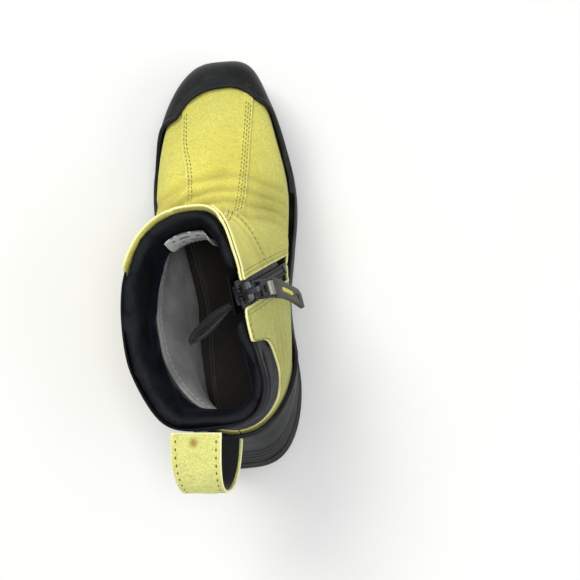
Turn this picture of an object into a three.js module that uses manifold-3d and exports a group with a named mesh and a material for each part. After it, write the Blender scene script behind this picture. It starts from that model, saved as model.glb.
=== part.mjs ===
// Left ankle boot of suede with a side zip, a padded collar, a rubber toe rand and heel cup, and a lugged sole.
// Millimetres. +Z is up, +Y points to the toe and +X to the inner (medial) side of the foot.
// The origin is on the ground, under the centre of the heel.

import * as THREE from "three";
import { mergeVertices } from "three/addons/utils/BufferGeometryUtils.js";
import Module from "manifold-3d";

const wasm = await Module();
wasm.setup();

// ---- Driving dimensions ----

const SOLE_LENGTH = 300;
const HEEL_BACK = 42; // from the heel centre to the back edge of the sole
const HEEL_WIDTH = 82;
const BALL_WIDTH = 106;
const WELT = 5.5; // how far the sole stands out past the upper

const HEEL_STACK = 30; // ground to the top of the midsole, under the heel
const BALL_STACK = 22;
const TOE_SPRING = 9; // how far the toe of the sole lifts off the ground
const LUG_DEPTH = 5;
const RUBBER = 4; // the outsole's skin above its lugs

const RIM_BACK_HEIGHT = 143;
const RIM_FRONT_HEIGHT = 165;
const COLLAR_LENGTH = 134;
const COLLAR_WIDTH = 86;
const COLLAR_LEAN = 23; // the soft shaft leans out, away from the inner side
const TOE_BOX = 37; // height of the toe box above the sole

const SUEDE = 1.8;
const STIFFENER = 1.3;
const FOAM = 1.8;
const FELT = 2.3;
const COLLAR_PAD = 8.6;
const LAYER_GAP = 1;
const SEAM_GAP = 0.8; // between panels that meet edge to edge
const REST_GAP = 0.4; // between a piece and what it rests on

const RAND = 2.5;
const RAND_GAP = 1.2;

const ZIP_FOLD = 9; // how far the rim is drawn in at the zip
const ZIP_BOTTOM_HEIGHT = 62;
const ZIP_OPENING = 8.5; // from the zip's centre line to the suede on each side
const TOOTH_PITCH = 4.2;
const TOOTH_LENGTH = 1.6;
const CHAIN_WIDTH = 7.6;
const CHAIN_THICK = 3;
const TAPE_WIDTH = 4.7;
const TAPE_THICK = 0.8;

const SLIDER_LENGTH = 14;
const SLIDER_WALL = 1.4;
const SLIDER_CLEARANCE = 0.7;

const GRIP_LENGTH = 25;
const GRIP_WIDTH = 13;
const BARREL_RADIUS = 2.6;

const HEEL_LOOP_WIDTH = 32;
const HEEL_LOOP_REACH = 34;
const HEEL_LOOP_HEIGHT = 44;
const FINGER_LOOP_LENGTH = 34;
const FINGER_LOOP_WIDTH = 10;
const WEBBING = 1.2;

// ---- Colours ----

const finish = (color, roughness, metalness = 0) => new THREE.MeshStandardMaterial({ color, roughness, metalness });
const suedeYellow = finish(0xc9bd55, 0.95);
const softshellBlack = finish(0x14161c, 0.8);
const rubberBlack = finish(0x1d1f21, 0.55);
const feltGrey = finish(0x6a6866, 1);
const foamGrey = finish(0x3c3c3e, 1);
const boardBrown = finish(0x6b5a45, 0.9);
const tapeBlack = finish(0x101114, 0.85);
const plasticBlack = finish(0x17181a, 0.35);
const metalDark = finish(0x2b2d30, 0.35, 0.8);
const barrelGrey = finish(0x77756f, 0.45, 0.4);
const steel = finish(0x8b8d90, 0.4, 0.9);
const labelGrey = finish(0xbdbdb8, 0.8);

const boot = new THREE.Group();

function add(name, geometry, material, parent = boot) {
  const mesh = new THREE.Mesh(geometry, material);
  mesh.name = name;
  parent.add(mesh);
  return mesh;
}

// ---- Small helpers ----

const mix = (a, b, share) => a + (b - a) * share;
const clamp01 = (x) => Math.min(1, Math.max(0, x));

function smooth(low, high, x) {
  const k = clamp01((x - low) / (high - low));
  return k * k * (3 - 2 * k);
}

// A smooth curve through [x, value] stations.
function through(stations, x) {
  const last = stations.length - 1;
  if (x <= stations[0][0]) return stations[0][1];
  if (x >= stations[last][0]) return stations[last][1];
  const slope = (i) => {
    const a = stations[Math.max(0, i - 1)];
    const b = stations[Math.min(last, i + 1)];
    return (b[1] - a[1]) / (b[0] - a[0]);
  };
  let i = 0;
  while (x > stations[i + 1][0]) i++;
  const [x0, v0] = stations[i];
  const [x1, v1] = stations[i + 1];
  const h = x1 - x0;
  const k = (x - x0) / h;
  const rise = v0 * (1 + 2 * k) + h * slope(i) * k;
  const fall = v1 * (3 - 2 * k) - h * slope(i + 1) * (1 - k);
  return rise * (1 - k) ** 2 + fall * k * k;
}

// A closed geometry from its vertices and triangles, turned so that its faces point out.
function closedGeometry(points, triangles) {
  let volume = 0;
  for (const [a, b, c] of triangles) {
    volume += points[a].dot(new THREE.Vector3().crossVectors(points[b], points[c]));
  }
  const index = triangles.flatMap(([a, b, c]) => (volume > 0 ? [a, b, c] : [a, c, b]));
  return new THREE.BufferGeometry().setFromPoints(points).setIndex(index);
}

function toManifold(geometry) {
  const bare = geometry.clone();
  bare.deleteAttribute("normal");
  bare.deleteAttribute("uv");
  const merged = mergeVertices(bare, 1e-4);
  const mesh = new wasm.Mesh({
    numProp: 3,
    vertProperties: new Float32Array(merged.attributes.position.array),
    triVerts: new Uint32Array(merged.index.array),
  });
  return new wasm.Manifold(mesh);
}

function fromManifold(solid) {
  const { vertProperties, triVerts } = solid.getMesh();
  return new THREE.BufferGeometry()
    .setAttribute("position", new THREE.BufferAttribute(new Float32Array(vertProperties), 3))
    .setIndex(new THREE.BufferAttribute(new Uint32Array(triVerts), 1));
}

const joined = (first, ...others) => fromManifold(others.reduce((sum, g) => sum.add(toManifold(g)), toManifold(first)));
const cut = (body, ...tools) => fromManifold(tools.reduce((sum, g) => sum.subtract(toManifold(g)), toManifold(body)));

// A box given by its lowest and highest corners.
function boxBetween([x0, y0, z0], [x1, y1, z1]) {
  const box = new THREE.BoxGeometry(x1 - x0, y1 - y0, z1 - z0);
  return box.translate((x0 + x1) / 2, (y0 + y1) / 2, (z0 + z1) / 2);
}

// ---- The skin: the outer surface of the upper ----
// It is a stack of outlines. Level 0 is the line where the upper meets the sole and level 1 is the rim of the collar.
// Round an outline, turn runs from 0 at the front over the medial side to 0.5 at the back, and from 0 to -0.5 over the
// lateral side.

const LEVELS = 8;
const soleBack = -HEEL_BACK;
const rimBack = soleBack + 17;
const rimFront = rimBack + COLLAR_LENGTH;
const toeTop = HEEL_STACK + TOE_BOX;

const atLevel = (values) => {
  const stations = values.map((value, i) => [i / LEVELS, value]);
  return (level) => through(stations, level);
};

const setIn = [WELT, 9.5, 13.5, 17, 19.5, 20.5, 20.5, 19, 17];
const backY = atLevel(setIn.map((inset) => soleBack + inset));
const backRise = [0, 0.14, 0.28, 0.4, 0.51, 0.63, 0.77, 0.89, 1];
const backZ = atLevel(backRise.map((share) => mix(HEEL_STACK, RIM_BACK_HEIGHT, share)));
const vampY = [0.967, 0.928, 0.823, 0.707].map((share) => soleBack + share * SOLE_LENGTH);
const frontY = atLevel([soleBack + SOLE_LENGTH - WELT, ...vampY, rimFront + 31, rimFront + 9, rimFront - 1, rimFront]);
const toeRise = [0, 0.42, 0.76, 1].map((share) => mix(HEEL_STACK, toeTop, share));
const shaftRise = [0.1, 0.245, 0.47, 0.745, 1].map((share) => mix(toeTop, RIM_FRONT_HEIGHT, share));
const frontZ = atLevel([...toeRise, ...shaftRise]);

const heelHalf = HEEL_WIDTH / 2 - WELT;
const ballHalf = BALL_WIDTH / 2 - WELT;
const footHalfWidth = [
  [0, 1.317 * heelHalf],
  [0.14, 1.244 * heelHalf],
  [0.25, 1.1 * heelHalf],
  [0.38, 0.76 * ballHalf],
  [0.5, 0.87 * ballHalf],
  [0.62, 1.01 * ballHalf],
  [0.7, 1.047 * ballHalf],
  [0.8, 1.01 * ballHalf],
  [0.873, 0.958 * ballHalf],
  [0.94, 0.868 * ballHalf],
  [1, 0.81 * ballHalf],
];
const collarHalf = COLLAR_WIDTH / 2;
const shaftHalfWidth = atLevel([0.95, 1, 1.047, 1.058, 1.058, 1.047, 1.023, 1.01, 1].map((share) => share * collarHalf));
const shaftShare = atLevel([0, 0.35, 0.6, 0.8, 0.95, 1, 1, 1, 1]);
const bluntness = atLevel([0.62, 0.64, 0.68, 0.8, 0.86, 0.86, 0.82, 0.77, 0.75]);
const lean = atLevel([0, 0, 0.043, 0.13, 0.26, 0.435, 0.652, 0.826, 1].map((share) => -share * COLLAR_LEAN));
const toeShift = atLevel([8, 8, 8, 7, 5, 4, 5, 6, 7]);

// Height of the top of the midsole, and how much the sole has lifted off the ground, at a place along the foot.
const toeLift = (y) => TOE_SPRING * clamp01((y - 0.52 * SOLE_LENGTH) / (0.34 * SOLE_LENGTH)) ** 2;
const soleTop = (y) => mix(HEEL_STACK, BALL_STACK, smooth(0.05, 0.46, y / SOLE_LENGTH)) + toeLift(y);

function levelHeight(share, y, level) {
  const flat = mix(backZ(level), frontZ(level), share);
  const atSole = soleTop(y) + REST_GAP - mix(backZ(0), frontZ(0), share);
  return flat + atSole * (1 - smooth(0, 2 / LEVELS, level));
}

// The back of the shaft leans less than its sides.
function middleX(share, level) {
  const back = mix(0.5, 0.75, smooth(0.5, 1, level));
  return lean(level) * mix(back, 1, smooth(0, 0.35, share)) + toeShift(level) * share ** 8;
}

function halfWidth(share, level) {
  const round = 2 * Math.sqrt(Math.max(0, share * (1 - share)));
  const width = mix(through(footHalfWidth, share), shaftHalfWidth(level), shaftShare(level));
  const squareBack = 0.25 * smooth(0.5, 1, level) * (1 - smooth(0.05, 0.5, share));
  const squareToe = 0.1 * smooth(0.6, 0.95, share) * (1 - smooth(0.15, 0.5, level));
  return width * round ** (bluntness(level) - squareBack - squareToe);
}

// The zip runs down one straight line on the skin, from the rim to its bottom stop.
function levelAt(y, z) {
  let low = 0;
  let high = 1;
  for (let i = 0; i < 40; i++) {
    const level = (low + high) / 2;
    const share = (y - backY(level)) / (frontY(level) - backY(level));
    if (levelHeight(share, y, level) < z) low = level;
    else high = level;
  }
  return low;
}

const zipTopY = rimBack + 0.58 * COLLAR_LENGTH;
const zipTopZ = levelHeight(0.58, zipTopY, 1);
const zipTopX = middleX(0.58, 1) + halfWidth(0.58, 1) - ZIP_FOLD;
const zipTop = new THREE.Vector3(zipTopX, zipTopY, zipTopZ);
const zipBottomY = zipTopY + 0.12 * SOLE_LENGTH;
const zipBottomLevel = levelAt(zipBottomY, ZIP_BOTTOM_HEIGHT);
const zipBottomShare = (zipBottomY - backY(zipBottomLevel)) / (frontY(zipBottomLevel) - backY(zipBottomLevel));
const zipBottomX = middleX(zipBottomShare, zipBottomLevel) + halfWidth(zipBottomShare, zipBottomLevel);
const zipBottom = new THREE.Vector3(zipBottomX, zipBottomY, ZIP_BOTTOM_HEIGHT);
const zipLength = zipTop.distanceTo(zipBottom);

// The point where the zip's line, carried on below its end, crosses a level.
function zipCrossing(level) {
  let low = 0;
  let high = 2;
  const point = new THREE.Vector3();
  for (let i = 0; i < 40; i++) {
    const middle = (low + high) / 2;
    point.lerpVectors(zipTop, zipBottom, middle);
    const share = (point.y - backY(level)) / (frontY(level) - backY(level));
    if (point.z > levelHeight(share, point.y, level)) low = middle;
    else high = middle;
  }
  const share = (point.y - backY(level)) / (frontY(level) - backY(level));
  return { point, share };
}

const OUTLINE_STEPS = 360;
const outlines = new Map();

// The medial and lateral halves of an outline, each from front to back, with the distance run so far.
function outlineAt(level) {
  const key = level.toFixed(6);
  if (outlines.has(key)) return outlines.get(key);
  const zip = zipCrossing(level);
  const natural = halfWidth(zip.share, level);
  const drawnIn = level > zipBottomLevel ? (zip.point.x - middleX(zip.share, level)) / natural : 1;
  const halves = {};
  for (const side of [1, -1]) {
    const points = [];
    const run = [0];
    for (let i = 0; i <= OUTLINE_STEPS; i++) {
      const share = (1 + Math.cos((Math.PI * i) / OUTLINE_STEPS)) / 2;
      const y = mix(backY(level), frontY(level), share);
      const pulled = side > 0 ? mix(1, drawnIn, smooth(0.15, 0.5, share)) : 1;
      const x = middleX(share, level) + side * pulled * halfWidth(share, level);
      points.push(new THREE.Vector3(x, y, levelHeight(share, y, level)));
      if (i) run.push(run[i - 1] + points[i].distanceTo(points[i - 1]));
    }
    halves[side] = { points, run, length: run[OUTLINE_STEPS] };
  }
  const found = { halves, zip };
  outlines.set(key, found);
  return found;
}

function onOutline(half, distance) {
  let low = 0;
  let high = half.points.length - 1;
  while (high - low > 1) {
    const middle = (low + high) >> 1;
    if (half.run[middle] > distance) high = middle;
    else low = middle;
  }
  const k = (distance - half.run[low]) / (half.run[high] - half.run[low]);
  return new THREE.Vector3().lerpVectors(half.points[low], half.points[high], k);
}

function skin(turn, level) {
  const wrapped = turn - Math.round(turn);
  const half = outlineAt(level).halves[wrapped < 0 ? -1 : 1];
  return onOutline(half, Math.min(1, 2 * Math.abs(wrapped)) * half.length);
}

function skinNormal(turn, level) {
  const dTurn = 0.004;
  const dLevel = 0.006;
  const low = Math.max(0, level - dLevel);
  const high = Math.min(1, level + dLevel);
  const round = skin(turn + dTurn, level).sub(skin(turn - dTurn, level));
  const up = skin(turn, high).sub(skin(turn, low));
  return up.cross(round).normalize();
}

const offSkin = (turn, level, offset) => skin(turn, level).addScaledVector(skinNormal(turn, level), offset);

// Turns a distance in millimetres from the front, along a level, into a turn. Medial distances are positive.
function turnAt(distance, level) {
  const { halves } = outlineAt(level);
  return distance / (2 * halves[distance < 0 ? -1 : 1].length);
}

// The turn of the zip's centre line at a level, moved by a distance: positive distances go towards the heel.
function zipTurn(level, distance = 0) {
  const { halves, zip } = outlineAt(level);
  const half = halves[1];
  const index = half.points.findIndex((p) => p.y < zip.point.y);
  const [before, after] = [half.points[index - 1], half.points[index]];
  const k = (before.y - zip.point.y) / (before.y - after.y);
  return (mix(half.run[index - 1], half.run[index], k) + distance) / (2 * half.length);
}

// ---- Shells: closed solids that follow the skin between two offsets ----

const asFunction = (value) => (typeof value === "function" ? value : () => value);

// across runs 0 to 1 from one side edge to the other, and up runs 0 to 1 from the bottom edge to the top.
function shell({ from, to, bottom, top, inner, outer, columns, rows, ring = false }) {
  const [start, end] = [asFunction(from), asFunction(to)];
  const [low, high] = [asFunction(bottom), asFunction(top)];
  const points = [];
  const columnCount = ring ? columns : columns + 1;
  const at = (side, i, j) => (side * columnCount + (i % columnCount)) * (rows + 1) + j;
  for (const offset of [inner, outer]) {
    for (let i = 0; i < columnCount; i++) {
      const across = i / columns;
      for (let j = 0; j <= rows; j++) {
        const level = mix(low(across), high(across), j / rows);
        const turn = mix(start(level), end(level), across);
        points.push(offSkin(turn, level, offset));
      }
    }
  }
  const triangles = [];
  const quad = (a, b, c, d) => triangles.push([a, b, c], [a, c, d]);
  for (let i = 0; i < columns; i++) {
    for (let j = 0; j < rows; j++) {
      quad(at(1, i, j), at(1, i, j + 1), at(1, i + 1, j + 1), at(1, i + 1, j));
      quad(at(0, i, j), at(0, i + 1, j), at(0, i + 1, j + 1), at(0, i, j + 1));
    }
    quad(at(0, i, 0), at(1, i, 0), at(1, i + 1, 0), at(0, i + 1, 0));
    quad(at(0, i, rows), at(0, i + 1, rows), at(1, i + 1, rows), at(1, i, rows));
  }
  if (!ring) {
    for (let j = 0; j < rows; j++) {
      quad(at(0, 0, j), at(0, 0, j + 1), at(1, 0, j + 1), at(1, 0, j));
      quad(at(0, columns, j), at(1, columns, j), at(1, columns, j + 1), at(0, columns, j + 1));
    }
  }
  return closedGeometry(points, triangles);
}

// ---- Slabs: solids that follow the plan of the foot, such as the layers of the sole ----

const SLAB_STEPS = 28;

// layers go from the bottom up, each { grow, height } with grow the distance outside the upper's lowest outline.
function slab(layers) {
  const ringPoints = ({ grow, height }) => {
    const points = [];
    for (let i = 0; i < 2 * SLAB_STEPS; i++) {
      const angle = (Math.PI * i) / SLAB_STEPS;
      // points lie closer together at the toe and the heel
      const turn = (angle - 0.25 * Math.sin(2 * angle)) / (2 * Math.PI);
      const p = skin(turn, 0);
      const along = skin(turn + 0.004, 0).sub(skin(turn - 0.004, 0)).setZ(0).normalize();
      p.x -= along.y * grow;
      p.y += along.x * grow;
      p.z = height(p.y);
      points.push(p);
    }
    return points;
  };
  const around = 2 * SLAB_STEPS;
  const points = layers.flatMap(ringPoints);
  const triangles = [];
  const quad = (a, b, c, d) => triangles.push([a, b, c], [a, c, d]);
  for (let layer = 0; layer + 1 < layers.length; layer++) {
    const base = layer * around;
    for (let i = 0; i < around; i++) {
      const next = (i + 1) % around;
      quad(base + i, base + next, base + around + next, base + around + i);
    }
  }
  const cap = (base, up) => {
    const mirror = (i) => base + ((around - i) % around);
    for (let i = 0; i < SLAB_STEPS; i++) {
      const [a, b, c, d] = [base + i, base + i + 1, mirror(i + 1), mirror(i)];
      if (a !== d) triangles.push(up ? [a, c, d] : [a, d, c]);
      if (b !== c) triangles.push(up ? [a, b, c] : [a, c, b]);
    }
  };
  cap(0, false);
  cap((layers.length - 1) * around, true);
  return closedGeometry(points, triangles);
}

// ---- Sole ----

const BOARD = 2;
const FOOTBED = 5;
const heelBreast = 0.14 * SOLE_LENGTH;
const treadBack = 0.3 * SOLE_LENGTH;
const ARCH_RISE = 4;
const ARCH_SLOPE = 12;
const arch = (y) => {
  const rise = smooth(heelBreast, heelBreast + ARCH_SLOPE, y);
  return ARCH_RISE * (rise - smooth(treadBack - ARCH_SLOPE, treadBack, y));
};
const treadBase = (y) => LUG_DEPTH + arch(y) + toeLift(y);
const rubberTop = (y) => treadBase(y) + RUBBER;

// One lug: a block with its foot on the ground line and its head sunk into the rubber.
function lug(x0, y0, x1, y1, sweep = 0) {
  const corners = [
    [x0, y0],
    [x1, y0 + sweep],
    [x1, y1 + sweep],
    [x0, y1],
  ];
  const bottom = corners.map(([x, y]) => new THREE.Vector3(x, y, toeLift(y)));
  const topCorners = corners.map(([x, y]) => new THREE.Vector3(x, y, treadBase(y) + RUBBER / 2));
  const sides = [0, 1, 2, 3].flatMap((i) => {
    const next = (i + 1) % 4;
    return [
      [i, next, 4 + next],
      [i, 4 + next, 4 + i],
    ];
  });
  const ends = [
    [0, 2, 1],
    [0, 3, 2],
    [4, 5, 6],
    [4, 6, 7],
  ];
  return closedGeometry([...bottom, ...topCorners], [...sides, ...ends]);
}

// Half-widths of the sole at a place along it, found on the upper's lowest outline.
function soleSides(y) {
  const share = (y - backY(0)) / (frontY(0) - backY(0));
  const half = halfWidth(clamp01(share), 0) + WELT - 2;
  return [middleX(clamp01(share), 0) - half, middleX(clamp01(share), 0) + half];
}

const LUG_LENGTH = 10;
const LUG_GAP = 6;
const LUG_CENTRE_HALF = 13;
const LUG_GROOVE = 5;
const LUG_EDGE = 12; // from the ends of the sole to the first and last rows of lugs
const LUG_SWEEP = 4; // how far the side lugs slant

function treadLugs() {
  const lugs = [];
  const row = (y, sweep) => {
    const front = Math.max(y, y + LUG_LENGTH);
    const [lateralBack, medialBack] = soleSides(y);
    const [lateralFront, medialFront] = soleSides(front + Math.max(0, sweep));
    const lateral = Math.max(lateralBack, lateralFront);
    const medial = Math.min(medialBack, medialFront);
    const middle = (lateral + medial) / 2;
    const half = Math.min(LUG_CENTRE_HALF, (medial - lateral) / 5);
    lugs.push(lug(middle - half, y, middle + half, front));
    lugs.push(lug(lateral, y + sweep, middle - half - LUG_GROOVE, front + sweep, -sweep));
    lugs.push(lug(middle + half + LUG_GROOVE, y, medial, front, sweep));
  };
  const pitch = LUG_LENGTH + LUG_GAP;
  for (let y = LUG_EDGE - HEEL_BACK; y + LUG_LENGTH < heelBreast + ARCH_SLOPE / 2; y += pitch) row(y, 0);
  const treadFront = soleBack + SOLE_LENGTH - LUG_EDGE;
  for (let y = treadBack; y + LUG_LENGTH + LUG_SWEEP < treadFront; y += pitch) row(y, LUG_SWEEP);
  return lugs;
}

const heelPadY = 16;
const heelPad = lug(-LUG_CENTRE_HALF, -heelPadY / 2, LUG_CENTRE_HALF, heelPadY / 2);
const outsoleSlab = slab([
  { grow: WELT - 1, height: treadBase },
  { grow: WELT, height: (y) => treadBase(y) + 1.5 },
  { grow: WELT, height: rubberTop },
]);
add("outsole", joined(outsoleSlab, heelPad, ...treadLugs()), rubberBlack);

const SHANK_WIDTH = 16;
const SHANK_LENGTH = 110;
const SHANK_THICK = 1.6;
const shankBack = -0.03 * SOLE_LENGTH;
const midsoleFoot = (y) => rubberTop(y) + REST_GAP;
const bead = (y) => mix(midsoleFoot(y), soleTop(y), 0.45);
const midsoleBody = slab([
  { grow: WELT, height: midsoleFoot },
  { grow: WELT + 0.8, height: (y) => mix(midsoleFoot(y), soleTop(y), 0.15) },
  { grow: WELT - 0.4, height: bead },
  { grow: WELT - 1, height: soleTop },
]);
// The shank lies in a slanting pocket in the midsole, open at the top.
const shankTop = (y) => soleTop(y) - REST_GAP;
function strip(halfAcross, y0, y1, low, high, steps = 10) {
  const points = [];
  for (let i = 0; i <= steps; i++) {
    const y = mix(y0, y1, i / steps);
    points.push(new THREE.Vector3(-halfAcross, y, low(y)), new THREE.Vector3(halfAcross, y, low(y)));
    points.push(new THREE.Vector3(halfAcross, y, high(y)), new THREE.Vector3(-halfAcross, y, high(y)));
  }
  const triangles = [
    [0, 1, 2],
    [0, 2, 3],
  ];
  for (let i = 0; i < steps; i++) {
    for (let k = 0; k < 4; k++) {
      const [a, b] = [4 * i + k, 4 * i + ((k + 1) % 4)];
      triangles.push([a, a + 4, b + 4], [a, b + 4, b]);
    }
  }
  const end = 4 * steps;
  triangles.push([end, end + 2, end + 1], [end, end + 3, end + 2]);
  return closedGeometry(points, triangles);
}
const shankEnd = shankBack + SHANK_LENGTH;
const pocket = strip(
  SHANK_WIDTH / 2 + REST_GAP,
  shankBack - REST_GAP,
  shankEnd + REST_GAP,
  (y) => shankTop(y) - SHANK_THICK - REST_GAP,
  (y) => soleTop(y) + 2,
);
add("midsole", cut(midsoleBody, pocket), rubberBlack);
add(
  "shank",
  strip(SHANK_WIDTH / 2, shankBack, shankEnd, (y) => shankTop(y) - SHANK_THICK, shankTop),
  steel,
);

const liningInner = -(SUEDE + LAYER_GAP + COLLAR_PAD);
const boardTop = (y) => soleTop(y) + REST_GAP + BOARD;
const boardGrow = -(SUEDE + LAYER_GAP + STIFFENER + 2);
add(
  "insole_board",
  slab([
    { grow: boardGrow, height: (y) => soleTop(y) + REST_GAP },
    { grow: boardGrow, height: boardTop },
  ]),
  boardBrown,
);
const footbedGrow = liningInner - 4;
add(
  "footbed",
  slab([
    { grow: footbedGrow, height: (y) => boardTop(y) + REST_GAP },
    { grow: footbedGrow, height: (y) => boardTop(y) + REST_GAP + FOOTBED - 1 },
    { grow: footbedGrow - 1.5, height: (y) => boardTop(y) + REST_GAP + FOOTBED },
  ]),
  feltGrey,
);

// ---- Upper: suede panels ----

const PANEL_BOTTOM = 0.012;
const vampEdge = [
  [0, 28],
  [0.4, 27],
  [0.52, 18.5],
  [0.65, 14],
  [1, 12],
];
const vampLateral = (level) => turnAt(-through(vampEdge, level), level);
const vampMedial = (level) => turnAt(mix(25, 20, level), level);
const seam = (level) => turnAt(SEAM_GAP, level);

// Half the opening for the zip: full beside the chain, closing to a seam below the bottom stop.
const closing = (level) => smooth(zipBottomLevel - 0.09, zipBottomLevel - 0.03, level);
const zipGap = (level) => mix(SEAM_GAP, ZIP_OPENING, closing(level));

// The level of the suede's top edge at each turn. Behind the corners of the collar it drops to the heel cup.
const suedeTop = (turn) =>
  through(
    [
      [-0.5, 0.49],
      [-0.43, 0.53],
      [-0.37, 0.6],
      [-0.275, 0.72],
      [-0.205, 0.79],
      [-0.175, 0.85],
      [-0.16, 0.99],
      [-0.152, 1],
      [0.2625, 1],
      [0.2716, 0.99],
      [0.281, 0.86],
      [0.295, 0.8],
      [0.335, 0.73],
      [0.39, 0.63],
      [0.43, 0.55],
      [0.5, 0.49],
    ],
    turn,
  );
const EDGE_LEVEL = 0.8; // where a shell's side edges are read to place its top edge
const suedeTopBetween = (start, end) => (share) => suedeTop(mix(start(EDGE_LEVEL), end(EDGE_LEVEL), share));

const suede = { inner: -SUEDE, outer: 0, bottom: PANEL_BOTTOM };
add(
  "vamp_panel",
  shell({ ...suede, from: vampLateral, to: vampMedial, top: 1, columns: 8, rows: 14 }),
  suedeYellow,
);
add(
  "medial_forepart",
  shell({
    ...suede,
    from: (level) => vampMedial(level) + seam(level),
    to: (level) => zipTurn(level, -zipGap(level)),
    top: 1,
    columns: 8,
    rows: 12,
  }),
  suedeYellow,
);
const medialFront = (level) => zipTurn(level, zipGap(level));
const medialBack = (level) => 0.5 - seam(level);
add(
  "medial_quarter",
  shell({
    ...suede,
    from: medialFront,
    to: medialBack,
    top: suedeTopBetween(medialFront, medialBack),
    columns: 15,
    rows: 8,
  }),
  suedeYellow,
);
const lateralFront = (level) => vampLateral(level) - seam(level);
const lateralBack = (level) => -0.5 + seam(level);
add(
  "lateral_quarter",
  shell({
    ...suede,
    from: lateralFront,
    to: lateralBack,
    top: suedeTopBetween(lateralFront, lateralBack),
    columns: 22,
    rows: 9,
  }),
  suedeYellow,
);
// A second layer of suede on the front corner of the collar, beside the top of the zip.
const PATCH_BOTTOM = 0.7;
add(
  "zip_top_patch",
  shell({
    from: (level) => turnAt(12, level),
    to: (level) => zipTurn(level, -ZIP_OPENING),
    bottom: PATCH_BOTTOM,
    top: 1,
    inner: RAND_GAP,
    outer: RAND_GAP + SUEDE * 0.7,
    columns: 6,
    rows: 5,
  }),
  suedeYellow,
);

// ---- Upper: rubber ----

// The toe rand is highest over the toe and runs out along both sides. It reaches lower on the medial side.
const randTop = (turn) =>
  through(
    [
      [-0.215, 0.03],
      [-0.175, 0.06],
      [-0.14, 0.15],
      [-0.12, 0.21],
      [-0.07, 0.315],
      [-0.042, 0.315],
      [0, 0.31],
      [0.045, 0.3],
      [0.073, 0.26],
      [0.105, 0.17],
      [0.14, 0.07],
      [0.18, 0.03],
    ],
    turn,
  );
const RAND_LATERAL = -0.215;
const RAND_MEDIAL = 0.18;
add(
  "toe_rand",
  shell({
    from: RAND_LATERAL,
    to: RAND_MEDIAL,
    bottom: 0,
    top: (across) => randTop(mix(RAND_LATERAL, RAND_MEDIAL, across)),
    inner: RAND_GAP,
    outer: RAND_GAP + RAND,
    columns: 36,
    rows: 4,
  }),
  rubberBlack,
);
const HEEL_CUP_SPAN = 0.165;
const heelCupTop = (fromBack) =>
  through(
    [
      [0, 0.49],
      [0.05, 0.48],
      [0.08, 0.42],
      [0.11, 0.3],
      [0.14, 0.14],
      [HEEL_CUP_SPAN, 0.03],
    ],
    Math.abs(fromBack),
  );
add(
  "heel_cup",
  shell({
    from: 0.5 - HEEL_CUP_SPAN,
    to: 0.5 + HEEL_CUP_SPAN,
    bottom: 0,
    top: (across) => heelCupTop(mix(-HEEL_CUP_SPAN, HEEL_CUP_SPAN, across)),
    inner: RAND_GAP,
    outer: RAND_GAP + RAND,
    columns: 22,
    rows: 5,
  }),
  rubberBlack,
);

// ---- Upper: inside ----

const stiffenerOuter = -(SUEDE + LAYER_GAP + 0.2);
add(
  "toe_puff",
  shell({
    from: -0.125,
    to: 0.125,
    bottom: 0.02,
    top: 0.25,
    inner: stiffenerOuter - STIFFENER,
    outer: stiffenerOuter,
    columns: 18,
    rows: 4,
  }),
  boardBrown,
);
add(
  "heel_counter",
  shell({
    from: 0.36,
    to: 0.64,
    bottom: 0.02,
    top: 0.46,
    inner: stiffenerOuter - STIFFENER,
    outer: stiffenerOuter,
    columns: 14,
    rows: 4,
  }),
  boardBrown,
);
const LINING_TOP = 0.69;
const foamOuter = stiffenerOuter - STIFFENER - LAYER_GAP;
const PAD_TO_ZIP = 14;
add(
  "foam_interlining",
  shell({
    from: (level) => zipTurn(level, PAD_TO_ZIP),
    to: 0.9,
    bottom: 0.09,
    top: LINING_TOP - 0.01,
    inner: foamOuter - FOAM,
    outer: foamOuter,
    columns: 22,
    rows: 4,
  }),
  foamGrey,
);
add(
  "felt_lining",
  shell({
    from: 0,
    to: 1,
    bottom: 0.07,
    top: LINING_TOP,
    inner: liningInner,
    outer: liningInner + FELT,
    columns: 32,
    rows: 5,
    ring: true,
  }),
  feltGrey,
);
const COLLAR_BOTTOM = LINING_TOP + 0.01;
add(
  "collar_pad",
  shell({
    from: (level) => zipTurn(level, PAD_TO_ZIP),
    to: (level) => 1 + zipTurn(level, -PAD_TO_ZIP),
    bottom: COLLAR_BOTTOM,
    top: 1,
    inner: liningInner,
    outer: stiffenerOuter,
    columns: 34,
    rows: 4,
  }),
  softshellBlack,
);
const ankleMedial = (level) =>
  through(
    [
      [0.8, 0.306],
      [0.86, 0.293],
      [1, 0.284],
    ],
    level,
  );
const ankleLateral = (level) =>
  through(
    [
      [0.8, 0.785],
      [0.86, 0.814],
      [1, 0.834],
    ],
    level,
  );
const ankleTurn = (share) => mix(ankleMedial(EDGE_LEVEL), ankleLateral(EDGE_LEVEL), share);
add(
  "ankle_panel",
  shell({
    from: ankleMedial,
    to: ankleLateral,
    bottom: (share) => suedeTop(ankleTurn(share) - Math.round(ankleTurn(share) - 0.001)) + 0.025,
    top: 1,
    inner: -SUEDE,
    outer: 0,
    columns: 22,
    rows: 4,
  }),
  softshellBlack,
);
const GUSSET = 1;
const gussetOuter = liningInner + GUSSET + LAYER_GAP;
add(
  "zip_gusset",
  shell({
    from: (level) => zipTurn(level, 1.2 - PAD_TO_ZIP),
    to: (level) => zipTurn(level, PAD_TO_ZIP - 1.2),
    bottom: COLLAR_BOTTOM,
    top: 0.97,
    inner: gussetOuter - GUSSET,
    outer: gussetOuter,
    columns: 4,
    rows: 6,
  }),
  tapeBlack,
);
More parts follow.
